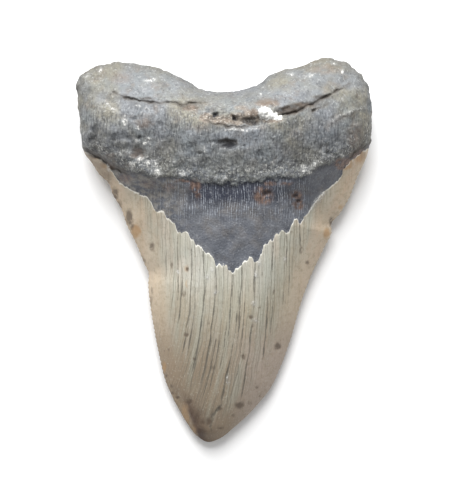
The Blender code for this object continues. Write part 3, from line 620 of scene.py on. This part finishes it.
def tooth_surface(outline, x, y, lingual, rim_distance):
    """The height of each point above the ground, and the masks of the finishes."""
    root = ramp(y - height_on(ROOT_FOOT, x), ROOT_START, ROOT_FULL)
    rim = height_on(RIM_LINE, y) + root * lumps(x, y, *ROOT_EDGE_LUMPS)
    half_width = outline.half_width(y)
    power = BLADE_POWER + root * (ROOT_POWER - BLADE_POWER)
    off_rim = ramp(rim_distance, 0.0, RELIEF_MARGIN)

    crest = height_on(CREST_LINE, y)
    middle = rim + (crest - rim) * (1 - LOBE_FALL * root * (x / HALF_SPREAD) ** 2)
    blade = np.maximum(BLADE_SHARE * half_width, LEAST_ROUNDING)
    width = blade + root * (ROOT_ROUNDING - blade)
    top = rim + (middle - rim) * rounded(rim_distance, width, power)
    relief, borders, stains_and_shade = lingual_form(x, y, root)
    top += off_rim * relief

    blade = np.maximum(LABIAL_BLADE_SHARE * half_width, LEAST_ROUNDING)
    width = blade + root * (LABIAL_ROOT_ROUNDING - blade)
    bottom = rim * (1 - rounded(rim_distance, width, power))
    bottom += off_rim * blot(x, y, *LABIAL_DISH)
    edge = height_on(LABIAL_ENAMEL_EDGE, x) + lumps(x, y, *ENAMEL_WOBBLE, layer=5.0)
    labial_enamel = ramp(edge - y, -LABIAL_STEP_RUN / 2, LABIAL_STEP_RUN / 2)
    bottom += off_rim * ENAMEL_STEP * (1 - labial_enamel) * (1 - ramp(y, *LABIAL_STEP_END))
    for wavelength, height in ROOT_LUMPS:
        bottom += off_rim * root * lumps(x + 2 * HALF_SPREAD, y, wavelength, LABIAL_LUMP_SHARE * height)
    bottom = np.maximum(bottom, 0.0)

    masks = {name: np.where(lingual, reach, -1.0) for name, reach in borders.items()}
    masks |= {name: np.where(lingual, share, 0.0) for name, share in stains_and_shade.items()}
    masks["enamel"] = np.where(lingual, borders["enamel"], edge - y)
    masks["root"] = np.where(lingual, borders["root"], y - edge)
    masks["lingual"] = lingual.astype(float)
    masks["inward"] = np.minimum(rim_distance, EDGE_REACH)
    on_rim = rim_distance < RIM_REACH
    return np.where(on_rim, rim, np.where(lingual, top, bottom)), masks


def rim_density(share):
    """How much closer together the grid's lines lie near the end of a run than in its middle."""
    return sum(extra * np.exp(-share / reach) for reach, extra in RIM_CROWDING)


def spaced(share, density):
    """Even shares from 0 to 1, moved together where the density, sampled along the run, is greater."""
    passed = np.concatenate([[0.0], np.cumsum((density[1:] + density[:-1]) / 2)])
    return np.interp(share, passed / passed[-1], np.linspace(0.0, 1.0, len(density)))


def grid_faces():
    """A grid at z = 1 for the lingual face and a turned-over copy at z = -1 for the labial one."""
    bm = bmesh.new()
    bmesh.ops.create_grid(bm, x_segments=GRID_COLUMNS, y_segments=GRID_ROWS, size=1.0)
    copied = bmesh.ops.duplicate(bm, geom=bm.verts[:] + bm.edges[:] + bm.faces[:])["geom"]
    below = [v for v in copied if isinstance(v, bmesh.types.BMVert)]
    under = set(below)
    above = [v for v in bm.verts if v not in under]
    bmesh.ops.reverse_faces(bm, faces=[f for f in copied if isinstance(f, bmesh.types.BMFace)])
    bmesh.ops.translate(bm, verts=above, vec=(0.0, 0.0, 1.0))
    bmesh.ops.translate(bm, verts=below, vec=(0.0, 0.0, -1.0))
    return bm


def read_points(mesh, name="co"):
    """The mesh's points, or their normals, as rows of three numbers."""
    numbers = np.empty(3 * len(mesh.vertices), np.float32)
    if name == "co":
        mesh.vertices.foreach_get("co", numbers)
    else:
        mesh.vertex_normals.foreach_get("vector", numbers)
    return numbers.reshape(-1, 3).astype(float)


def keep_mask(mesh, name, values):
    """Stores a number, or three, for each point under a name that the material reads."""
    kind = "FLOAT_VECTOR" if values.ndim == 2 else "FLOAT"
    attribute = mesh.attributes.get(name) or mesh.attributes.new(name, kind, "POINT")
    attribute.data.foreach_set("vector" if values.ndim == 2 else "value", values.astype(np.float32).ravel())


def read_mask(mesh, name):
    """The numbers that keep_mask stored."""
    numbers = np.empty(len(mesh.vertices), np.float32)
    mesh.attributes[name].data.foreach_get("value", numbers)
    return numbers.astype(float)


def serrate(x, y, rim_distance):
    """How far the cutting edges' serrations move each point sideways."""
    phase = (y / SERRATION_PITCH) % 1.0
    tooth = np.abs(2 * phase - 1) - 0.5
    fade = np.clip(1 - rim_distance / SERRATION_REACH, 0.0, 1.0)
    low, high = SERRATED
    run = ramp(y, low, low + SERRATION_RUN) * (1 - ramp(y, high - SERRATION_RUN, high))
    return np.sign(x - BLADE_MIDDLE) * SERRATION_DEPTH * 2 * tooth * fade * run


def shape_faces(mesh):
    """Moves the points of the two grids to the tooth's faces, in millimetres, and stores the masks."""
    column, row, side = read_points(mesh).T
    run = np.linspace(0.0, 1.0, DENSITY_SAMPLES)
    density = 1 + rim_density(run) + rim_density(1 - run)
    across = spaced((column + 1) / 2, density)
    along = spaced((row + 1) / 2, density + ROOT_CROWDING * ramp(run, ROOT_ROWS_START, ROOT_ROWS_FULL))
    outline = Outline()
    x, y = outline.place(across, along)
    rim_distance, _ = nearest_on(outline.loop, x, y)
    z, masks = tooth_surface(outline, x, y, side > 0, rim_distance)
    moved_x = x + serrate(x, y, rim_distance)
    points = np.stack([moved_x, y, z], axis=-1)
    mesh.vertices.foreach_set("co", points.astype(np.float32).ravel())
    for name, values in masks.items():
        keep_mask(mesh, name, values)
    keep_mask(mesh, "growth", np.stack([growth_line(x, y), y, side], axis=-1))


def roughen(mesh):
    """Raises the grain of each finish along the surface's normals, and fits the tooth to its size."""
    points = read_points(mesh)
    normals = read_points(mesh, "normal")
    above_foot = read_mask(mesh, "root")
    enamel = ramp(read_mask(mesh, "enamel"), -ENAMEL_STEP_RUN / 2, ENAMEL_STEP_RUN / 2)
    root = ramp(above_foot, -ROOT_STEP_RUN / 2, ROOT_STEP_RUN / 2)
    bourlette = np.clip(1 - enamel - root, 0, 1) * read_mask(mesh, "lingual")
    shares = (
        (root, ROOT_GRAINS),
        (root * (1 - ramp(above_foot, BAND_REACH / 2, BAND_REACH)), BAND_GRAINS),
        (root * (1 - ramp(read_mask(mesh, "inward"), 0.0, RIM_WEAR_REACH)), RIM_WEAR),
        (bourlette, BOURLETTE_GRAINS),
        (enamel, ENAMEL_GRAINS),
        (ramp(read_mask(mesh, "crust"), *CRUST_GRAIN_RISE), CRUST_GRAINS),
    )
    height = np.zeros(len(points))
    for share, layers in shares:
        for layer in layers:
            height += share * grains(points, *layer)
    y = points[:, 1]
    (lowest, highest), (low_run, high_run) = STRIA_BAND, STRIA_RUNS
    strip = ramp(y, lowest, lowest + low_run) * (1 - ramp(y, highest - high_run, highest))
    height += bourlette * strip * grains(points, *STRIA_GRAIN)
    drawn = points + normals * height[:, None]
    low, high = drawn.min(axis=0), drawn.max(axis=0)
    placed = (drawn - low) / (high - low) * (TOOTH_HIGH - TOOTH_LOW) + TOOTH_LOW
    mesh.vertices.foreach_set("co", placed.astype(np.float32).ravel())
    mesh.update()


def weld(mesh, distance):
    """Joins the two faces along their shared rim."""
    bm = bmesh.new()
    bm.from_mesh(mesh)
    bmesh.ops.remove_doubles(bm, verts=bm.verts, dist=distance)
    bm.to_mesh(mesh)
    bm.free()


def thin_labial_face(tooth):
    """Takes triangles from the flatter labial face only, and leaves the lingual one whole."""
    mesh = tooth.data
    labial = tooth.vertex_groups.new(name="labial")
    inner = np.flatnonzero(read_mask(mesh, "lingual") < 0.5)
    labial.add(inner.tolist(), 1.0, "REPLACE")
    fewer = tooth.modifiers.new("fewer_triangles", "DECIMATE")
    fewer.decimate_type = "COLLAPSE"
    fewer.ratio = (1 + LABIAL_KEPT) / 2
    fewer.vertex_group = labial.name
    bpy.context.view_layer.update()
    thinned = bpy.data.meshes.new_from_object(tooth.evaluated_get(bpy.context.evaluated_depsgraph_get()))
    tooth.modifiers.clear()
    tooth.vertex_groups.clear()
    tooth.data = thinned
    bpy.data.meshes.remove(mesh)
    thinned.name = tooth.name


def linear(hex_colour):
    """An sRGB hex colour as the linear values that shaders use."""
    values = [int(hex_colour[i : i + 2], 16) / 255 for i in (1, 3, 5)]
    return tuple(v / 12.92 if v <= 0.04045 else ((v + 0.055) / 1.055) ** 2.4 for v in values)


def add(tree, kind, inputs=None, **settings):
    """Adds a node, sets its properties, and sets or links its inputs; a colour may be an sRGB hex value."""
    node = tree.nodes.new(kind)
    for name, value in settings.items():
        setattr(node, name, value)
    for key, value in (inputs or {}).items():
        socket = node.inputs[key]
        if isinstance(value, bpy.types.NodeSocket):
            tree.links.new(value, socket)
        elif socket.type == "RGBA":
            colour = linear(value) if isinstance(value, str) else value
            socket.default_value = (*colour, 1.0)
        else:
            socket.default_value = value
    return node


def pattern(tree, places, size, low, high, offset=0.0, stretch=1.0, detail=3.0):
    """Noise with spots of that size in millimetres, longer along Y by stretch, as a share from 0 to 1."""
    scaled = add(
        tree, "ShaderNodeMapping",
        {"Vector": places, "Location": (offset, offset, offset),
         "Scale": (1 / size, 1 / (size * stretch), 1 / size)},
    )
    cloud = add(
        tree, "ShaderNodeTexNoise",
        {"Vector": scaled.outputs["Vector"], "Scale": 1.0, "Detail": detail, "Roughness": 0.55},
    )
    share = add(
        tree, "ShaderNodeMapRange", {"Value": cloud.outputs["Fac"], "From Min": low, "From Max": high},
    )
    return share.outputs["Result"]


def stored(tree, name, low=0.0, high=1.0):
    """A number stored with the form, as a share that goes from 0 at low to 1 at high."""
    attribute = add(tree, "ShaderNodeAttribute", attribute_name=name)
    share = add(
        tree, "ShaderNodeMapRange", {"Value": attribute.outputs["Fac"], "From Min": low, "From Max": high},
    )
    return share.outputs["Result"]


def past_border(tree, name, places, border, soft, torn, size):
    """1 where a stored distance is past a border, which is soft over a length and torn by noise.

    The border, the soft length, the noise's reach and its size are all in millimetres.
    """
    attribute = add(tree, "ShaderNodeAttribute", attribute_name=name)
    tear = add(
        tree, "ShaderNodeMapRange",
        {"Value": pattern(tree, places, size, 0.3, 0.7), "To Min": -torn - border, "To Max": torn - border},
    )
    reach = add(
        tree, "ShaderNodeMath", {0: attribute.outputs["Fac"], 1: tear.outputs["Result"]}, operation="ADD",
    )
    share = add(
        tree, "ShaderNodeMapRange", {"Value": reach.outputs[0], "From Min": -soft, "From Max": soft},
    )
    return share.outputs["Result"]


def along_axis(tree, places, axis, start, end):
    """A share that rises smoothly from 0 at start to 1 at end along an axis."""
    split = add(tree, "ShaderNodeSeparateXYZ", {"Vector": places})
    share = add(
        tree, "ShaderNodeMapRange", {"Value": split.outputs[axis], "From Min": start, "From Max": end},
        interpolation_type="SMOOTHSTEP",
    )
    return share.outputs["Result"]


def lay(tree, under, over, *shares, kind="RGBA"):
    """Lays one colour, or with kind FLOAT one number, over another where all the shares overlap."""
    amount = shares[0]
    for share in shares[1:]:
        amount = add(tree, "ShaderNodeMath", {0: amount, 1: share}, operation="MULTIPLY").outputs[0]
    first, result = (6, 2) if kind == "RGBA" else (2, 0)
    mixed = add(tree, "ShaderNodeMix", {0: amount, first: under, first + 1: over}, data_type=kind)
    return mixed.outputs[result]


def lay_patches(tree, places, colour, patches, *shares):
    """Lays patches of noise over a colour: each its own colour, its strength and what pattern takes."""
    for over, strength, *spots in patches:
        colour = lay(tree, colour, over, pattern(tree, places, *spots), *shares, strength)
    return colour


def lay_shades(tree, places, colour, shades):
    """Lays soft tones over a colour, painted shade among them: each its own colour, its strength and the ramps
    that bound it.
    """
    for over, strength, *ramps in shades:
        bounds = [along_axis(tree, places, *bound) for bound in ramps]
        colour = lay(tree, colour, over, *bounds, strength)
    return colour


def growth_cracks(tree, growth, spacing, half_width, layer, run=9.0, least=0.45):
    """Lines that follow the growth lines, that far apart on the whole, and fade in and out over a run."""
    split = add(tree, "ShaderNodeSeparateXYZ", {"Vector": growth})
    drift = pattern(tree, growth, 7.0, 0.0, 1.0, layer, 1.6)
    line = add(
        tree, "ShaderNodeMath", {0: drift, 1: 2.4, 2: split.outputs["X"]}, operation="MULTIPLY_ADD",
    )
    shifted = add(
        tree, "ShaderNodeMath", {0: line.outputs[0], 1: 1 / spacing, 2: layer}, operation="MULTIPLY_ADD",
    )
    cells = add(
        tree, "ShaderNodeTexVoronoi", {"W": shifted.outputs[0], "Scale": 1.0},
        voronoi_dimensions="1D", feature="DISTANCE_TO_EDGE",
    )
    share = add(
        tree, "ShaderNodeMapRange",
        {"Value": cells.outputs["Distance"], "From Min": half_width / spacing,
         "From Max": 0.2 * half_width / spacing},
    )
    fade = pattern(tree, growth, 1.6 * spacing, least, least + 0.16, layer + 5, run / spacing, detail=1.0)
    open_share = add(tree, "ShaderNodeMath", {0: share.outputs["Result"], 1: fade}, operation="MULTIPLY")
    return open_share.outputs[0]


def root_phosphate(tree, places, tooth):
    """Porous grey phosphate: cloudy warm and cool patches, dark mottles and pores, pale grains, a low fibre,
    and painted shade low down, under the right-hand crack and on its rim near the top.

    The real grains are 0.2 mm and less, and are drawn four times coarser, so that they show.
    """
    colour = lay_patches(tree, places, tooth.root_colour, ROOT_CLOUDS)
    rim_shade = stored(tree, "inward", 3.5, 0.5)
    colour = lay_shades(tree, places, colour, [("#4B4B46", 0.35, ("Y", 46.0, 58.0))])
    # a warm tint with painted shade on the root's rim, near its top
    colour = lay(tree, colour, "#4A463E", rim_shade, along_axis(tree, places, "Y", 44.0, 54.0), 0.45)
    colour = lay_shades(tree, places, colour, ROOT_TONES_AND_PAINTED_SHADE)
    low_part = along_axis(tree, places, "Y", 53.0, 40.0)
    colour = lay_patches(tree, places, colour, ROOT_FIBRES, low_part)
    colour = lay_patches(tree, places, colour, ROOT_GRAIN_COLOURS)
    foot = stored(tree, "root", 9.0, 2.0)
    colour = lay_patches(tree, places, colour, FOOT_PATCHES, foot)
    strewn = pattern(tree, places, 6.0, 0.4, 0.62, 53.0)
    off_edge = stored(tree, "root", 0.2, 2.4)
    colour = lay_patches(tree, places, colour, FOOT_CRUMBS, foot, off_edge, strewn)
    return colour, pattern(tree, places, 0.7, 0.3, 0.7)


def groove_matter(tree, places):
    """What has set in the groove: crumbly tan and brown matter with pale grains."""
    return lay_patches(tree, places, "#776D62", GROOVE_PATCHES)


def bourlette_phosphate(tree, places, growth, tooth):
    """The dark band of the neck: smooth blue-grey, with painted shade that makes it darkest under the root,
    and fine pale upright striae.
    """
    colour = lay_patches(tree, places, tooth.bourlette_colour, BOURLETTE_CLOUDS)
    left_part = along_axis(tree, places, "X", -10.0, -20.0)
    colour = lay_patches(tree, places, colour, BOURLETTE_LEFT_PATCHES, left_part)
    colour = lay_shades(tree, places, colour, [("#474C55", 0.4, ("Y", 9.0, -4.0))])
    below = add(tree, "ShaderNodeAttribute", attribute_name="enamel")
    across = add(tree, "ShaderNodeSeparateXYZ", {"Vector": places})
    along_edge = add(
        tree, "ShaderNodeCombineXYZ", {"X": across.outputs["X"], "Y": below.outputs["Fac"]},
    )
    arcs = pattern(tree, along_edge.outputs["Vector"], 12.0, 0.46, 0.66, 14.0, 0.16, detail=1.0)
    colour = lay(tree, colour, "#85878B", arcs, along_axis(tree, places, "Y", 18.0, 8.0), 0.14)
    colour = lay_shades(tree, places, colour, [UNDER_ROOT_SHADE])
    beads = pattern(tree, places, 0.7, 0.38, 0.56, 66.0, 2.0)
    striae = growth_cracks(tree, growth, 0.75, 0.16, 83.0, run=3.4, least=0.36)
    bounds = [along_axis(tree, places, *bound) for bound in STRIA_BOUNDS]
    colour = lay(tree, colour, "#B3B9C2", striae, beads, *bounds, 0.68)
    colour = lay_patches(tree, places, colour, BOURLETTE_GRAIN_COLOURS)
    # a painted shadow line just below the root's foot
    colour = lay(tree, colour, "#202228", stored(tree, "root", -1.5, -0.2), 0.6)
    return colour, pattern(tree, places, 0.6, 0.3, 0.7, 2.0)


def crown_enamel(tree, places, growth, tooth):
    """Enameloid, hard and close: warm grey, browner towards the tip and smooth near the cutting edges.

    Its growth lines show as streaks and as hairline cracks with dirt in them. Painted light brightens its
    upper middle, and a painted highlight runs along its upper edge.
    """
    colour = lay_patches(tree, growth, tooth.enamel_colour, [("#A79D88", 0.8, 6.0, 0.42, 0.66, 0.0, 5.0)])
    colour = lay_patches(tree, places, colour, [("#B9A587", 0.4, 9.0, 0.5, 0.75, 17.0, 2.0)])
    colour = lay(tree, colour, "#C6B096", stored(tree, "inward", EDGE_REACH, 2.0), 0.6)
    colour = lay(tree, colour, "#837361", along_axis(tree, growth, "Y", -8.0, -40.0), 0.79)
    colour = lay_shades(tree, places, colour, CROWN_SHADES)
    upper_part = along_axis(tree, places, "Y", -20.0, 2.0)
    colour = lay_patches(tree, places, colour, [("#BCA189", 0.35, 5.0, 0.46, 0.64, 29.0, 2.5)], upper_part)
    colour = lay_patches(tree, places, colour, [("#8A7C66", 0.36, 1.8, 0.48, 0.68, 47.0, 0.8)])
    bounds = [along_axis(tree, places, *bound) for bound in CROWN_PAINTED_LIGHT_BOUNDS]
    # painted light on the crown's upper middle
    colour = lay(tree, colour, "#CDD0CB", *bounds, along_axis(tree, growth, "Y", -20.0, -5.0), 0.37)
    middle = stored(tree, "inward", 4.5, 8.0)
    colour = lay_patches(tree, growth, colour, CROWN_STREAKS, middle)
    colour = lay_patches(tree, places, colour, CROWN_GRAIN_COLOURS)
    for over, strength, *lines in CROWN_HAIRLINES:
        colour = lay(tree, colour, over, growth_cracks(tree, growth, *lines), middle, strength)
    colour = lay(tree, colour, "#A67F50", stored(tree, "rust", 0.1, 0.9), 0.65)
    # a painted highlight along the enamel's upper edge, broken up by noise
    rim_highlight_breaks = pattern(tree, places, 2.2, 0.36, 0.5, 33.0)
    colour = lay(tree, colour, "#E2E0D8", stored(tree, "enamel", 0.6, 0.2), rim_highlight_breaks, 0.85)
    return colour, pattern(tree, growth, 0.5, 0.3, 0.7, stretch=20.0, detail=2.0)


def lay_stains_and_shade(tree, places, growth, colour):
    """Dirt, the shade in pits and cracks, pale mineral and the crust, over every finish."""
    dirt = pattern(tree, places, 1.6, 0.26, 0.46, 36.0)
    colour = lay(tree, colour, "#574A3E", stored(tree, "brown", 0.05, 0.75), dirt, 0.8)
    colour = lay(tree, colour, "#3F281D", stored(tree, "ridge"), 0.85)
    # Painted shade in the pits, the foramina and the hollow above the right-hand crack
    colour = lay(tree, colour, "#202026", stored(tree, "pit_shade", 0.1, 1.3), 0.85)
    open_share = pattern(tree, growth, 2.0, 0.22, 0.5, 15.0, 3.0)
    split = past_border(tree, "split", places, 0.02, 0.1, 0.08, 0.9)
    colour = lay(tree, colour, "#55524A", split, open_share, 0.7)
    colour = lay(tree, colour, "#453F38", stored(tree, "cracked", -0.9, 0.1), 0.4)
    cracked = past_border(tree, "cracked", places, 0.1, 0.15, 0.15, 0.9)
    colour = lay(tree, colour, "#3A332D", cracked, open_share, 0.5)
    pale = past_border(tree, "pale", places, 0.1, 0.25, 0.6, 0.8)
    colour = lay(tree, colour, "#9FA0A0", stored(tree, "pale", -0.9, 0.3), 0.25)
    colour = lay_patches(tree, places, colour, [("#CFCEC9", 0.75, 0.55, 0.44, 0.57, 51.0, 1.7)], pale)
    crystals = lay_patches(tree, places, "#A8A9A8", [("#D8D7D3", 1.0, 0.8, 0.34, 0.54, 25.0)])
    return lay(tree, colour, crystals, past_border(tree, "crust", places, 0.15, 0.35, 0.7, 0.9))


def tooth_material(tooth):
    """One fossil, three finishes: each has its own colour, polish and grain, inside its stored borders."""
    material = bpy.data.materials.new("weathered_phosphate_and_enamel")
    material.use_nodes = True
    tree = material.node_tree
    tree.nodes.clear()
    where = add(tree, "ShaderNodeTexCoord")
    in_mm = add(
        tree, "ShaderNodeMapping", {"Vector": where.outputs["Object"], "Scale": (1 / MM, 1 / MM, 1 / MM)},
    )
    places = in_mm.outputs["Vector"]
    growth = add(tree, "ShaderNodeAttribute", attribute_name="growth").outputs["Vector"]

    root_colour, root_height = root_phosphate(tree, places, tooth)
    neck_colour, neck_height = bourlette_phosphate(tree, places, growth, tooth)
    enamel_colour, enamel_height = crown_enamel(tree, places, growth, tooth)
    is_root = past_border(tree, "root", places, 0.0, 0.35, 0.6, 1.3)
    is_enamel = past_border(tree, "enamel", places, 0.05, 0.12, 0.15, 0.7)
    in_groove = stored(tree, "sediment", 0.15, 0.6)
    root_colour = lay(tree, root_colour, groove_matter(tree, places), in_groove, 0.85)
    rust = stored(tree, "rust", 0.0, 0.7)
    smears = pattern(tree, places, 1.4, 0.3, 0.52, 91.0, 1.3)
    root_colour = lay(tree, root_colour, "#705F51", rust, smears, 0.6)
    rusty = lay_patches(tree, places, "#846A5B", [("#523F35", 1.0, 1.1, 0.42, 0.58, 18.0, 1.6)])
    neck_colour = lay(tree, neck_colour, rusty, rust, smears, 0.8)
    colour = lay(tree, neck_colour, root_colour, is_root)
    colour = lay(tree, colour, enamel_colour, is_enamel)
    colour = lay_stains_and_shade(tree, places, growth, colour)

    roughness = lay(tree, tooth.bourlette_roughness, tooth.root_roughness, is_root, kind="FLOAT")
    roughness = lay(tree, roughness, tooth.enamel_roughness, is_enamel, kind="FLOAT")
    height = lay(tree, neck_height, root_height, is_root, kind="FLOAT")
    height = lay(tree, height, enamel_height, is_enamel, kind="FLOAT")
    bump = add(tree, "ShaderNodeBump", {"Height": height, "Strength": 0.6, "Distance": 0.15 * MM})
    surface = add(
        tree, "ShaderNodeBsdfPrincipled",
        {"Base Color": colour, "Roughness": roughness, "Normal": bump.outputs["Normal"],
         "Specular IOR Level": 0.4},
    )
    add(tree, "ShaderNodeOutputMaterial", {"Surface": surface.outputs["BSDF"]})
    return material


class ToothSettings(bpy.types.PropertyGroup):
    """The finishes of the tooth."""

    root_colour: bpy.props.FloatVectorProperty(
        name="Root", description="The root's grey", subtype="COLOR", size=3, min=0.0, max=1.0,
        default=linear("#74777A"),
    )
    bourlette_colour: bpy.props.FloatVectorProperty(
        name="Bourlette", description="The dark band between root and enamel", subtype="COLOR", size=3,
        min=0.0, max=1.0, default=linear("#5A5D64"),
    )
    enamel_colour: bpy.props.FloatVectorProperty(
        name="Enamel", description="The crown's warm grey", subtype="COLOR", size=3, min=0.0, max=1.0,
        default=linear("#B0ADA0"),
    )
    root_roughness: bpy.props.FloatProperty(
        name="Root Roughness", description="How dull the root is", default=0.68, min=0.0, max=1.0,
        subtype="FACTOR",
    )
    bourlette_roughness: bpy.props.FloatProperty(
        name="Bourlette Roughness", description="How dull the band is", default=0.6, min=0.0, max=1.0,
        subtype="FACTOR",
    )
    enamel_roughness: bpy.props.FloatProperty(
        name="Enamel Roughness", description="How dull the enamel is", default=0.62, min=0.0, max=1.0,
        subtype="FACTOR",
    )


class StudioSettings(bpy.types.PropertyGroup):
    """The floor, the light and the camera."""

    camera_height: bpy.props.FloatProperty(
        name="Camera Height", description="From the crown's surface up to the camera", default=0.6,
        min=0.2, unit="LENGTH",
    )
    view_height: bpy.props.FloatProperty(
        name="View Height", description="How much of the tooth's plane the picture is high",
        default=0.16038, min=0.05, unit="LENGTH",
    )
    camera_centre: bpy.props.FloatVectorProperty(
        name="Camera Centre", description="The point that the camera looks down on", size=3,
        default=(0.00033, 0.0025, 0.006), unit="LENGTH",
    )
    key_power: bpy.props.FloatProperty(
        name="Key Light", description="Power of the soft light beyond the root", default=9.0, min=0.0,
        unit="POWER",
    )
    sky_strength: bpy.props.FloatProperty(
        name="Sky", description="Strength of the even light from all round", default=0.5, min=0.0,
    )


class FOSSIL_OT_tooth(bpy.types.Operator):
    """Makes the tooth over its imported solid"""

    bl_idname = "fossil.tooth"
    bl_label = "Megalodon Tooth"

    def execute(self, context):
        bm = grid_faces()
        mesh = bpy.data.meshes.new("megalodon_tooth")
        bm.to_mesh(mesh)
        bm.free()
        shape_faces(mesh)
        weld(mesh, RIM_MERGE / MM)
        roughen(mesh)
        tooth = bpy.data.objects.new("megalodon_tooth", mesh)
        context.scene.collection.objects.link(tooth)
        thin_labial_face(tooth)
        tooth.data.shade_smooth()
        tooth.data.materials.clear()
        tooth.data.materials.append(tooth_material(context.scene.fossil_tooth))
        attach(tooth, "root")
        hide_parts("tooth")
        return {"FINISHED"}


class FOSSIL_OT_studio(bpy.types.Operator):
    """Makes the pale floor, the soft light and the camera that looks straight down"""

    bl_idname = "fossil.studio"
    bl_label = "Studio"

    def execute(self, context):
        scene = context.scene
        studio = scene.fossil_studio
        self.lay_floor(scene)
        self.hang_light(scene, studio)
        self.set_camera(scene, studio)
        scene.view_settings.view_transform = "Standard"
        return {"FINISHED"}

    def lay_floor(self, scene):
        bm = bmesh.new()
        bmesh.ops.create_grid(bm, x_segments=1, y_segments=1, size=FLOOR_HALF)
        bmesh.ops.translate(bm, verts=bm.verts, vec=(0.0, 0.0, TOOTH_LOW.z - FLOOR_GAP))
        mesh = bpy.data.meshes.new("floor")
        bm.to_mesh(mesh)
        bm.free()
        floor = bpy.data.objects.new("floor", mesh)
        scene.collection.objects.link(floor)
        material = bpy.data.materials.new("matt_white_card")
        material.use_nodes = True
        surface = material.node_tree.nodes["Principled BSDF"]
        surface.inputs["Base Color"].default_value = (*linear("#F4F4F4"), 1.0)
        surface.inputs["Roughness"].default_value = 0.9
        mesh.materials.append(material)

    def hang_light(self, scene, studio):
        data = bpy.data.lights.new("soft_window", "AREA")
        data.size = LAMP_SIZE
        data.energy = studio.key_power
        lamp = bpy.data.objects.new("soft_window", data)
        scene.collection.objects.link(lamp)
        lamp.location = LAMP_PLACE
        lamp.rotation_euler = (-lamp.location).to_track_quat("-Z", "Y").to_euler()
        world = bpy.data.worlds.new("white_room")
        world.use_nodes = True
        sky = world.node_tree.nodes["Background"]
        sky.inputs["Color"].default_value = (1.0, 1.0, 1.0, 1.0)
        sky.inputs["Strength"].default_value = studio.sky_strength
        scene.world = world

    def set_camera(self, scene, studio):
        data = bpy.data.cameras.new("camera")
        data.sensor_fit = "VERTICAL"
        data.angle_y = 2 * math.atan(studio.view_height / 2 / studio.camera_height)
        camera = bpy.data.objects.new("camera", data)
        scene.collection.objects.link(camera)
        camera.location = Vector(studio.camera_centre) + Vector((0.0, 0.0, studio.camera_height))
        scene.camera = camera


class FOSSIL_PT_sidebar(bpy.types.Panel):
    """The tooth and its studio, in the 3D view's sidebar"""

    bl_idname = "FOSSIL_PT_sidebar"
    bl_label = "Fossil Tooth"
    bl_space_type = "VIEW_3D"
    bl_region_type = "UI"
    bl_category = "Fossil"

    def draw(self, context):
        for operator, settings in (
            (FOSSIL_OT_tooth, context.scene.fossil_tooth),
            (FOSSIL_OT_studio, context.scene.fossil_studio),
        ):
            box = self.layout.box()
            for name in settings.__annotations__:
                box.prop(settings, name)
            box.operator(operator.bl_idname)


CLASSES = (ToothSettings, StudioSettings, FOSSIL_OT_tooth, FOSSIL_OT_studio, FOSSIL_PT_sidebar)


def register():
    for cls in CLASSES:
        bpy.utils.register_class(cls)
    bpy.types.Scene.fossil_tooth = bpy.props.PointerProperty(type=ToothSettings)
    bpy.types.Scene.fossil_studio = bpy.props.PointerProperty(type=StudioSettings)


def unregister():
    del bpy.types.Scene.fossil_studio
    del bpy.types.Scene.fossil_tooth
    for cls in reversed(CLASSES):
        bpy.utils.unregister_class(cls)


def main():
    register()
    bpy.ops.fossil.studio()
    bpy.ops.fossil.tooth()


if __name__ == "__main__":
    main()
